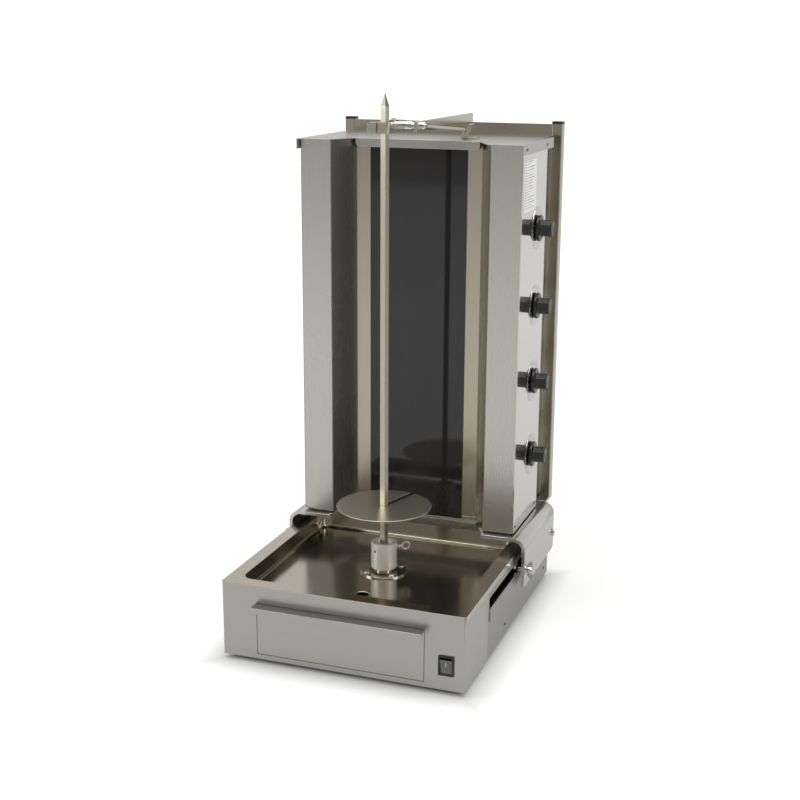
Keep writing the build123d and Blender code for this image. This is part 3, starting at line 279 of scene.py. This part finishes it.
# %% [markdown]
# ## Brushed stainless
# The casing is sheet with a fine ground finish. The grind leaves parallel streaks, so the reflection is
# smeared across them. Noise that is stretched hard along one axis gives the streaks, and a second, large
# noise gives the dull patches that hands and cloths leave. One recipe with a few settings covers the
# horizontal grain of the base, the upright grain of the tower, the polished tray and the drawn bars.
# Behind the wings' front plane, on the bevels that face the glowing elements, the steel is darker and
# browner. The spit's ground point is darkened too, as painted shade that keeps a soft box's highlight off it.

# %% Steel materials
along_x = (6.0, 1900.0, 1900.0)
along_z = (1900.0, 1900.0, 6.0)
along_y = (1900.0, 6.0, 1900.0)


def steel(name, tint, gloss, grain, streak=0.05, patch=0.06, relief=0.02, warm=0.0, darken_past=None):
    """stainless with streaks, dull patches and a straw tint, darker and browner past a plane (axis, place)"""
    made = start(name)
    fine = noise(grain)
    broad = noise(tuple(v / 5 for v in grain))
    smudge = noise((7.0, 7.0, 9.0), 4.0)
    streaks = fine * 0.6 + broad * 0.4
    dark = tuple(v * (1 - streak) for v in tint) + (1,)
    light = tuple(min(1.0, v * (1 + streak)) for v in tint) + (1,)
    straw = (tint[0] * 1.04, tint[1] * 0.95, tint[2] * 0.74, 1)
    ground = blend(streaks, dark, light)
    tinted = blend(smudge * warm, ground, straw)
    # past the plane the tint turns darker and browner
    if darken_past:
        past_plane = ((axes(place())[darken_past[0]] - darken_past[1]) / 0.002).math("MAXIMUM", 0.0).math("MINIMUM", 1.0)
        tinted = blend(past_plane, tinted, (tint[0] * 0.46, tint[1] * 0.45, tint[2] * 0.42, 1))
    rough = gloss + (streaks - 0.5) * (gloss * 10 * streak) + (smudge - 0.5) * patch
    tilt = bump(streaks, relief, 0.0004)
    material(name, Base_Color=tinted, Metallic=1.0, Roughness=rough, Normal=tilt)
    return made


sheet = (0.455, 0.452, 0.425)
wing_darkening = (1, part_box("wing_right")[0].y + 1.0 * mm)
# painted shade: the spit's point is darkened to keep the left soft box's highlight off it
point_painted_shade = (2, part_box("spit_bar")[1].z - 22.0 * mm)
steels = {
    "stainless": steel("stainless", sheet, 0.30, along_x),
    # the side panels take the same sheet in a darker tint: painted shade
    "stainless_side_painted_shade": steel("stainless_side_painted_shade", (0.345, 0.343, 0.328), 0.30, along_x),
    "stainless_upright": steel("stainless_upright", (0.525, 0.515, 0.480), 0.27, along_z, 0.015, 0.04, 0.002),
    "wing_steel": steel("wing_steel", (0.560, 0.550, 0.515), 0.27, along_z, 0.015, 0.04, 0.002,
                        darken_past=wing_darkening),
    # the carriage plate and cheeks take the same sheet in a lighter tint: painted light that brightens the
    # highlight on the cheeks' bends
    "plate_steel_painted_light": steel("plate_steel_painted_light", (0.600, 0.595, 0.570), 0.26, along_y, 0.03, 0.05, 0.01),
    "polished_steel": steel("polished_steel", (0.52, 0.49, 0.435), 0.16, along_y, 0.04, 0.14, 0.012, 0.5),
    "panel_steel": steel("panel_steel", (0.66, 0.655, 0.635), 0.10, along_z, 0.03, 0.04, 0.012),
    "dial_film": steel("dial_film", (0.57, 0.565, 0.56), 0.14, along_z, 0.03, 0.04, 0.006),
    "disc_steel": steel("disc_steel", (0.62, 0.60, 0.54), 0.36, along_x, 0.03, 0.08, 0.01, 0.5),
    "frame_steel": steel("frame_steel", (0.47, 0.455, 0.385), 0.24, along_z, 0.05, 0.05, 0.02, 0.6),
    "spit_steel": steel("spit_steel", (0.50, 0.485, 0.425), 0.28, along_z, 0.05, 0.12, 0.03, 0.7, point_painted_shade),
    "holder_steel": steel("holder_steel", (0.56, 0.54, 0.49), 0.24, along_x, 0.08, 0.10, 0.04, 0.5),
    "bright_fastener": steel("bright_fastener", (0.70, 0.70, 0.68), 0.16, along_x, 0.05, 0.08, 0.03),
    "screw_steel": steel("screw_steel", (0.30, 0.295, 0.28), 0.24, along_x, 0.05, 0.08, 0.03),
    "element_sheath": steel("element_sheath", (0.24, 0.21, 0.18), 0.45, along_x, 0.20, 0.15, 0.08, 0.6),
}

# %% [markdown]
# ## Everything that isn't sheet steel
# The cup is a turned light-alloy part, so it has faint rings and a pale satin face. The knobs and the
# switch are moulded plastic with a fine spark-eroded texture. The window is glass ceramic: nearly black,
# very smooth, with a thin film of cleaning smears. Each gets its own noise at its own scale, because
# that scale is what the eye reads.

# %% Cast, moulded and ceramic materials
def turned_alloy(name):
    """machined light alloy, with fine rings along its height"""
    made = start(name)
    rings = noise((20.0, 20.0, 1500.0), 2.0)
    grain = noise((300.0, 300.0, 300.0), 4.0)
    colour = blend(rings * 0.5 + grain * 0.5, (0.74, 0.73, 0.69, 1), (0.90, 0.89, 0.85, 1))
    material(name, Base_Color=colour, Metallic=0.35, Roughness=0.40 + (grain - 0.5) * 0.2,
             Normal=bump(rings + grain, 0.08, 0.0003))
    return made


def moulded(name, dark, light, rough, relief=0.15):
    """moulded or painted surface with a fine texture and a few dull patches"""
    made = start(name)
    grain = noise((1800.0, 1800.0, 1800.0), 2.0)
    patch = noise((40.0, 40.0, 40.0), 3.0)
    colour = blend(grain * 0.5 + patch * 0.5, (*dark, 1), (*light, 1))
    material(name, Base_Color=colour, Roughness=rough + (patch - 0.5) * 0.12,
             Normal=bump(grain, relief, 0.0002))
    return made


def glass_ceramic(name):
    """near-black glossy panel with a faint smear film"""
    made = start(name)
    smear = noise((14.0, 14.0, 3.0), 5.0)
    colour = blend(smear, (0.012, 0.0115, 0.012, 1), (0.020, 0.019, 0.020, 1))
    material(name, Base_Color=colour, Roughness=0.035 + smear * 0.05, Coat_Weight=0.15, Coat_Roughness=0.03)
    return made


others = {
    "cast_cup": turned_alloy("cast_cup"),
    "black_plastic": moulded("black_plastic", (0.012, 0.012, 0.013), (0.024, 0.023, 0.023), 0.38),
    "skirt_plastic": moulded("skirt_plastic", (0.006, 0.006, 0.007), (0.012, 0.012, 0.012), 0.16, 0.03),
    # the rocker's grey is painted glare on its lit front face
    "rocker_painted_glare": moulded("rocker_painted_glare", (0.130, 0.130, 0.127), (0.170, 0.170, 0.166), 0.34),
    "rubber_foot": moulded("rubber_foot", (0.018, 0.018, 0.018), (0.035, 0.034, 0.033), 0.75, 0.3),
    "ceramic_glass": glass_ceramic("ceramic_glass"),
    "insulation": moulded("insulation", (0.66, 0.63, 0.56), (0.82, 0.80, 0.74), 0.95, 0.6),
    "motor_case": moulded("motor_case", (0.16, 0.17, 0.18), (0.24, 0.25, 0.26), 0.50),
    "regulator_case": moulded("regulator_case", (0.66, 0.64, 0.58), (0.76, 0.74, 0.69), 0.55),
    "mark_white": moulded("mark_white", (0.62, 0.62, 0.60), (0.74, 0.74, 0.72), 0.50, 0.05),
    "mark_grey": moulded("mark_grey", (0.24, 0.24, 0.24), (0.30, 0.30, 0.30), 0.45, 0.05),
    # the black of the screws' cross recesses is painted shade
    "recess_black": moulded("recess_black", (0.010, 0.010, 0.010), (0.022, 0.021, 0.020), 0.60),
}
print("materials that aren't steel:", len(others))

# %% [markdown]
# ## Printed plates
# The rating plate is a silver film with lines of print. It stays generic here: rows of plain grey bars,
# with no letters. The bars are shader maths on the plate's own coordinates, because they have no
# thickness to model.

# %% The rating plate's print
plate_low, plate_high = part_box("rating_plate")


def step(value, edge, width=0.0004):
    """0 below an edge and 1 above it, with a short soft ramp"""
    return ((value - edge) / width + 0.5).math("MINIMUM", 1.0).math("MAXIMUM", 0.0)


def printed_film(name, low, high):
    """silver film with rows of grey bars of uneven length"""
    made = start(name)
    x, y, z = axes(place())
    row = (high.z - z) / 0.0046
    band = step(row.math("FRACT"), 0.30, 0.05) * (1 - step(row.math("FRACT"), 0.62, 0.05))
    lengths = Wire.node("ShaderNodeTexWhiteNoise", {"W": row.math("FLOOR")}, noise_dimensions="1D")
    reach = (high.y - low.y) * (lengths * 0.55 + 0.35)
    inside = step(y, low.y + 0.005) * (1 - step(y - low.y, reach)) * step(z, low.z + 0.006)
    words = step(noise((1.0, 420.0, 1.0), 0.0), 0.40, 0.02)
    ink = band * inside * (words * 0.8 + 0.2)
    colour = blend(ink, (0.88, 0.88, 0.89, 1), (0.40, 0.40, 0.42, 1))
    material(name, Base_Color=colour, Metallic=0.15, Roughness=0.38 + ink * 0.15)
    return made


plate_film = printed_film("plate_film", plate_low, plate_high)
plate_size = plate_high - plate_low
print("rating plate", round(plate_size.y / mm), "x", round(plate_size.z / mm), "mm")

# %% [markdown]
# ## Give each CAD node its finish
# The imported record names a material slot for every node. Most nodes take the material of that slot. A
# few take a variant: sheets that stand upright have their grain upright, and the control side is
# polished nearly to a mirror. The side panels take a darker tint of the sheet as painted shade, the
# carriage plate and cheeks a lighter one as painted light, and the rocker a grey that is painted glare.

# %% Materials on the CAD nodes
slot_of = {part["node"]: part["material_slot"] for part in frame["record"]["subparts"]}
variants = {
    "stainless_upright": ["left_cover", "rear_walls"],
    "wing_steel": ["wing_left", "wing_right"],
    "stainless_side_painted_shade": ["side_panel_left", "side_panel_right"],
    "plate_steel_painted_light": ["carriage_plate", "cheek_left", "cheek_right"],
    "panel_steel": ["control_panel"],
    "disc_steel": ["spit_disc"],
    "dial_film": ["dial_plates"],
    "frame_steel": ["rear_posts", "rear_cover", "glass_rails"],
    "holder_steel": ["spit_holder", "holder_latch", "support_arm", "arm_strut", "strut_bracket"],
    "rocker_painted_glare": ["switch_rocker"],
}
finish = {}
for node_name, slot_name in slot_of.items():
    finish[node_name] = steels.get(slot_name) or others.get(slot_name) or plate_film
for variant, names in variants.items():
    for node_name in names:
        finish[node_name] = steels.get(variant) or others.get(variant)
for node_name, node in frame["nodes"].items():
    node.data.materials.clear()
    node.data.materials.append(finish[node_name])
print("finished nodes:", len(finish))

# %% [markdown]
# ## Softened edges
# A CAD sheet has edges with no radius, and a real one never does: the cut edge is deburred and catches a
# thin line of light. A Bevel modifier on the CAD mesh itself isn't possible, because that mesh is a
# fixed frame of loose triangles. So each sheet is copied, its triangles are merged back into flat faces,
# and the copy gets the bevel.

# %% Bevelled copies of the sheets and bars
body_of_node = {n: body for body, members in frame["record"]["behaviour"]["bodies"].items() for n in members}


def to_plain_mesh(thing):
    """apply an object's modifiers and keep only the result"""
    bpy.context.view_layer.update()
    evaluated = thing.evaluated_get(bpy.context.evaluated_depsgraph_get())
    mesh = bpy.data.meshes.new_from_object(evaluated)
    mesh.name = thing.name
    thing.modifiers.clear()
    thing.data = mesh
    return thing


def surface(mesh):
    """the area of a mesh in square millimetres"""
    return sum(face.area for face in mesh.polygons) * 1e6


def softened(node_name, width, segments=2, flat=True):
    """a copy of a CAD node with rounded edges, which stands for the node"""
    merged = bmesh.new()
    merged.from_mesh(frame["nodes"][node_name].data)
    bmesh.ops.remove_doubles(merged, verts=merged.verts, dist=0.000003)
    if flat:
        bmesh.ops.dissolve_limit(merged, angle_limit=radians(0.4), verts=merged.verts, edges=merged.edges)
    bmesh.ops.recalc_face_normals(merged, faces=merged.faces)
    mesh = bpy.data.meshes.new(node_name + "_soft")
    merged.to_mesh(mesh)
    merged.free()
    piece = new_object(node_name + "_soft", mesh)
    bevel = piece.modifiers.new("edges", "BEVEL")
    bevel.width = width
    bevel.segments = segments
    bevel.limit_method = "ANGLE"
    bevel.angle_limit = radians(40)
    bevel.harden_normals = True
    to_plain_mesh(piece)
    kept = surface(piece.data) / surface(frame["nodes"][node_name].data)
    if not 0.9 < kept < 1.05:
        print("  check", node_name, "area is now", round(kept, 3), "of the CAD's")
    piece.data.materials.clear()
    piece.data.materials.append(finish[node_name])
    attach(piece, body_of_node[node_name])
    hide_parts(node_name)
    return piece


edges = {
    0.35 * mm: ["side_panel_left", "side_panel_right", "drawer_front", "wing_left", "wing_right",
                "control_panel", "left_cover", "top_cover", "glass_rails", "rear_walls"],
    0.8 * mm: ["carriage_plate", "cheek_left", "cheek_right", "support_arm", "switch_bezel"],
    0.5 * mm: ["spit_holder", "holder_latch", "strut_bracket", "spit_disc", "switch_rocker",
               "clamp_nut_left", "clamp_nut_right", "clamp_washers"],
}
soft = {}
for width, names in edges.items():
    for node_name in names:
        soft[node_name] = softened(node_name, width)
soft["front_panel"] = softened("front_panel", 0.35 * mm, flat=False)
soft["drip_tray"] = softened("drip_tray", 0.6 * mm, flat=False)
print("softened pieces:", len(soft), "faces:", sum(len(piece.data.polygons) for piece in soft.values()))

# %% [markdown]
# ## The knobs
# Each zone has a moulded knob: a thick round skirt, a grip with shallow flutes for wet fingers, and a
# white line. It is a turned shape, so a profile is spun round the axis. The flutes are a small wave in
# the grip's radius, which a plain cylinder can't have. All four share one mesh recipe, and each rides on
# its own body, because each turns.

# %% A spun shape
def spun(name, profile, centre, segments=72, flutes=0, depth=0.0):
    """spin (distance along +X, radius, fluted) rows round an axis that is parallel to X"""
    points, faces = [], []
    for along, radius, fluted in profile:
        for n in range(segments):
            turn = 2 * pi * n / segments
            reach = radius - (depth * (0.5 + 0.5 * cos(flutes * turn)) if fluted else 0.0)
            points.append(centre + Vector((along, reach * cos(turn), reach * sin(turn))))
    rows = len(profile)
    for row in range(rows - 1):
        for n in range(segments):
            m = (n + 1) % segments
            near, far_row = row * segments, (row + 1) * segments
            faces.append((near + n, near + m, far_row + m, far_row + n))
    faces.append(tuple(range(segments)))
    faces.append(tuple((rows - 1) * segments + n for n in range(segments)))
    mesh = bpy.data.meshes.new(name)
    mesh.from_pydata([tuple(point) for point in points], [], faces)
    tidy = bmesh.new()
    tidy.from_mesh(mesh)
    bmesh.ops.recalc_face_normals(tidy, faces=tidy.faces)
    tidy.to_mesh(mesh)
    tidy.free()
    mesh.shade_smooth()
    return new_object(name, mesh)


def soft_corner(along, radius, bend, fluted, first, last, steps=5):
    """rows of a rounded corner, turned from one angle to another"""
    rows = []
    for n in range(steps + 1):
        angle = radians(first + (last - first) * n / steps)
        rows.append((along + bend * cos(angle), radius + bend * sin(angle), fluted))
    return rows


# %% Four knobs
knob_length = 27.0 * mm
skirt_length = 6.0 * mm
skirt_bend = 1.8 * mm
grip_bend = 1.5 * mm
flute_count = 18
flute_depth = 0.7 * mm


def knob_piece(number):
    """a skirt and a fluted grip of one zone knob"""
    node_name = f"knob_{number}"
    low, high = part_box(node_name)
    centre = Vector((0, (low.y + high.y) / 2, (low.z + high.z) / 2))
    big = (high.z - low.z) / 2
    grip = big * 0.625
    back = high.x - knob_length
    mid = back + skirt_length
    profile = [(back, 3.0 * mm, False), (back, big - skirt_bend, False)]
    profile += soft_corner(back + skirt_bend, big - skirt_bend, skirt_bend, False, 170, 90)
    profile += soft_corner(mid - skirt_bend, big - skirt_bend, skirt_bend, False, 90, 10)
    profile += [(mid, grip + 2.0 * mm, False), (mid + 0.2 * mm, grip + 0.6 * mm, False)]
    profile += [(mid + 1.0 * mm, grip, True)]
    profile += [(mid + n * 4.5 * mm, grip - n * 0.05 * mm, True) for n in (1, 2, 3, 4)]
    profile += soft_corner(high.x - grip_bend, grip - grip_bend, grip_bend, True, 80, 5)
    profile += [(high.x - 0.3 * mm, grip - 3.0 * mm, False), (high.x - 0.6 * mm, grip * 0.5, False)]
    piece = spun(f"{node_name}_moulded", profile, centre, 72, flute_count, flute_depth)
    piece.data.materials.append(others["black_plastic"])
    piece.data.materials.append(others["skirt_plastic"])
    for face in piece.data.polygons:
        face.material_index = 1 if face.center.x < mid + 0.1 * mm else 0
    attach(piece, node_name)
    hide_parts(node_name)
    return piece, centre, grip, high.x


def bar(name, low, high, rounding, finish_of, body):
    """a small block with rounded edges"""
    made = bmesh.new()
    bmesh.ops.create_cube(made, size=1.0)
    middle = (Vector(low) + Vector(high)) / 2
    spans = Vector(high) - Vector(low)
    for corner in made.verts:
        corner.co = Vector((corner.co.x * spans.x, corner.co.y * spans.y, corner.co.z * spans.z)) + middle
    bmesh.ops.bevel(made, geom=made.edges[:], offset=rounding, segments=2, affect="EDGES", profile=0.5)
    mesh = bpy.data.meshes.new(name)
    made.to_mesh(mesh)
    made.free()
    piece = new_object(name, mesh)
    mesh.materials.append(finish_of)
    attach(piece, body)
    return piece


for number in (1, 2, 3, 4):
    piece, centre, grip, end_x = knob_piece(number)
    bar(f"pointer_{number}", (end_x - 0.55 * mm, centre.y - 0.6 * mm, centre.z + grip * 0.25),
        (end_x - 0.1 * mm, centre.y + 0.6 * mm, centre.z + grip * 0.82), 0.1 * mm,
        others["mark_white"], f"knob_{number}")
    print(piece.name, "faces", len(piece.data.polygons), "grip radius", round(grip / mm, 1), "mm")

# %% [markdown]
# ## Dial marks and screw heads, repeated by Geometry Nodes
# A dial has a ring of short printed ticks, and the casing is held by small cross-head screws. Copying
# them by hand would fix their number and place. A Geometry Nodes group puts one small shape on every
# point of a mesh instead, turned to face the way that the point says, and its named inputs set the size.
# The result is made into a plain mesh at once, so nothing live is left in the file.

# %% The repeat group
def socket_in(group, name, kind, value):
    """a named input on a node group"""
    made = group.interface.new_socket(name, in_out="INPUT", socket_type=kind)
    if kind != "NodeSocketGeometry" and value is not None:
        made.default_value = value
    return made


def repeat_group(name, build):
    """a group that puts a small shape on each point, turned to the point's 'facing' and 'upward' vectors"""
    group = bpy.data.node_groups.new(name, "GeometryNodeTree")
    socket_in(group, "Geometry", "NodeSocketGeometry", None)
    socket_in(group, "Width", "NodeSocketFloat", 0.003)
    socket_in(group, "Height", "NodeSocketFloat", 0.0015)
    group.interface.new_socket("Geometry", in_out="OUTPUT", socket_type="NodeSocketGeometry")
    nodes, links = group.nodes, group.links
    entry = nodes.new("NodeGroupInput")
    leave = nodes.new("NodeGroupOutput")

    def add(kind, settings=None, inputs=None):
        made = nodes.new(kind)
        for key, value in (settings or {}).items():
            setattr(made, key, value)
        for key, value in (inputs or {}).items():
            if hasattr(value, "is_output"):
                links.new(value, made.inputs[key])
            else:
                made.inputs[key].default_value = value
        return made

    shape = build(add, entry.outputs["Width"], entry.outputs["Height"])
    facing = add("GeometryNodeInputNamedAttribute", {"data_type": "FLOAT_VECTOR"}, {"Name": "facing"})
    upward_of = add("GeometryNodeInputNamedAttribute", {"data_type": "FLOAT_VECTOR"}, {"Name": "upward"})
    first = add("FunctionNodeAlignRotationToVector", {"axis": "Z"}, {"Vector": facing.outputs[0]})
    second = add("FunctionNodeAlignRotationToVector", {"axis": "Y", "pivot_axis": "Z"},
                 {"Rotation": first.outputs[0], "Vector": upward_of.outputs[0]})
    copies = add("GeometryNodeInstanceOnPoints", None,
                 {"Points": entry.outputs["Geometry"], "Instance": shape, "Rotation": second.outputs[0]})
    real = add("GeometryNodeRealizeInstances", None, {"Geometry": copies.outputs[0]})
    links.new(real.outputs[0], leave.inputs[0])
    return group


def set_material(add, geometry, finish_of):
    """give a geometry one material"""
    return add("GeometryNodeSetMaterial", None, {"Geometry": geometry, "Material": finish_of}).outputs[0]


def moved(add, geometry, shift):
    """shift a geometry along Z by a socket's value"""
    vector = add("ShaderNodeCombineXYZ", None, {"Z": shift})
    shifted = add("GeometryNodeTransform", None, {"Geometry": geometry, "Translation": vector.outputs[0]})
    return shifted.outputs[0]


def share(add, value, factor):
    """a socket's value times a factor"""
    return add("ShaderNodeMath", {"operation": "MULTIPLY"}, {0: value, 1: factor}).outputs[0]


def screw_head(add, width, height):
    """a pan head: a low cylinder, a cone on it and two dark bars that paint the shade of the cross recess"""
    half = share(add, width, 0.5)
    low = share(add, height, 0.5)
    base = add("GeometryNodeMeshCylinder", None, {"Vertices": 20, "Radius": half, "Depth": low})
    dome = add("GeometryNodeMeshCone", None, {"Vertices": 20, "Radius Bottom": half, "Depth": low,
                                              "Radius Top": share(add, width, 0.30)})
    joined = add("GeometryNodeJoinGeometry")
    raised = moved(add, base.outputs[0], share(add, height, 0.25))
    top = moved(add, dome.outputs[0], low)
    pieces = [set_material(add, part, steels["screw_steel"]) for part in (raised, top)]
    # the two dark bars paint the shade in the cross recess
    for swap in (False, True):
        size = add("ShaderNodeCombineXYZ", None, {
            "X": share(add, width, 0.12 if swap else 0.5), "Y": share(add, width, 0.5 if swap else 0.12),
            "Z": share(add, height, 0.1)})
        slot_bar = add("GeometryNodeMeshCube", None, {"Size": size.outputs[0]})
        pieces.append(set_material(add, moved(add, slot_bar.outputs[0], share(add, height, 0.99)),
                                   others["recess_black"]))
    tree = joined.id_data
    for geometry in pieces:
        tree.links.new(geometry, joined.inputs[0])
    return joined.outputs[0]


def tick_mark(add, width, height):
    """a thin printed bar, longer than it is wide"""
    size = add("ShaderNodeCombineXYZ", None, {"X": width, "Y": share(add, width, 5.0), "Z": height})
    block = add("GeometryNodeMeshCube", None, {"Size": size.outputs[0]})
    return set_material(add, block.outputs[0], others["mark_grey"])


screw_group = repeat_group("screw_heads", screw_head)
tick_group = repeat_group("dial_ticks", tick_mark)


def repeated(name, group, places, width, height, body):
    """run a repeat group on a list of (point, facing, upward) and keep the plain mesh"""
    mesh = bpy.data.meshes.new(name)
    mesh.from_pydata([tuple(spot[0]) for spot in places], [], [])
    for number, key in ((1, "facing"), (2, "upward")):
        values = [component for spot in places for component in spot[number]]
        mesh.attributes.new(key, "FLOAT_VECTOR", "POINT").data.foreach_set("vector", values)
    piece = new_object(name, mesh)
    live = piece.modifiers.new("repeat", "NODES")
    live.node_group = group
    for item in group.interface.items_tree:
        if item.in_out == "INPUT" and item.name in ("Width", "Height"):
            live[item.identifier] = width if item.name == "Width" else height
    to_plain_mesh(piece)
    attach(piece, body)
    print(name, "copies:", len(places), "faces:", len(piece.data.polygons))
    return piece


# %% [markdown]
# Ticks run round three quarters of each dial, as the knobs turn through about 270 degrees. They stand a
# few hundredths of a millimetre proud of the dial, so that they never flicker against its face.

# %% Dial ticks
dial_low, dial_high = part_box("dial_plates")
tick_circle = 31.0 * mm
ticks = []
for number in (1, 2, 3, 4):
    low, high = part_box(f"knob_{number}")
    centre = Vector((dial_high.x, (low.y + high.y) / 2, (low.z + high.z) / 2))
    for n in range(19):
        turn = radians(-45 + 15 * n)
        out = Vector((0, cos(turn), sin(turn)))
        ticks.append((centre + out * tick_circle, (1, 0, 0), tuple(out)))
repeated("dial_marks", tick_group, ticks, 0.8 * mm, 0.10 * mm, "tower")

# %% [markdown]
# The casing screws sit where the sheets overlap: on the ledge under each wing, along the foot of the
# side covers, on the side flanges of the top cover, in the cheeks and low on the sides of the cabinet.

# %% Casing screws
wing_low, wing_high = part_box("wing_right")
cover_low, cover_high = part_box("top_cover")
side_low, side_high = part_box("control_panel")
base_low, base_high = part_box("side_panel_right")
cheek_low, cheek_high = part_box("cheek_right")
plate_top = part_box("carriage_plate")[1].z
tower_screws, base_screws = [], []
for side in (-1, 1):
    outward = (side, 0, 0)
    ledge_x = side * (wing_low.x + wing_high.x) / 2 * 1.02
    tower_screws.append(((ledge_x - side * 14 * mm, wing_low.y - 8 * mm, plate_top), (0, 0, 1), (0, 1, 0)))
    for along in (0.08, 0.92):
        y = side_low.y + (side_high.y - side_low.y) * along
        tower_screws.append(((side * cover_high.x, y, cover_high.z - 9 * mm), outward, (0, 0, 1)))
        tower_screws.append(((side * side_high.x, y, side_low.z + 10 * mm), outward, (0, 0, 1)))
    cheek_spot = (side * cheek_high.x, cheek_high.y - 14 * mm, cheek_low.z + 40 * mm)
    tower_screws.append((cheek_spot, outward, (0, 0, 1)))
    for y in (base_low.y + 105 * mm, base_high.y - 30 * mm):
        base_screws.append(((side * (base_high.x - 2 * mm), y, base_low.z + 19 * mm), outward, (0, 0, 1)))
head_width = 6.0 * mm
head_height = 1.6 * mm
repeated("tower_screws", screw_group, tower_screws, head_width, head_height, "tower")
repeated("base_screws", screw_group, base_screws, head_width, head_height, "base")

# %% [markdown]
# ## Marks on the switch
# A mains rocker carries a bar on the half that switches on and a ring on the half that switches off.
# Both are moulded a little proud. Only the bar is made here, as a small rounded piece that rides on the
# rocker.

# %% Switch marks
rocker_low, rocker_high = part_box("switch_rocker")
mark_x = (rocker_low.x + rocker_high.x) / 2
mark_z = (rocker_low.z + rocker_high.z) / 2
face_y = rocker_low.y
bar("switch_mark_on", (mark_x - 0.5 * mm, face_y + 1.55 * mm, mark_z - 0.5 * mm),
    (mark_x + 0.5 * mm, face_y + 2.9 * mm, mark_z + 7.5 * mm), 0.1 * mm, others["mark_white"],
    "rocker")
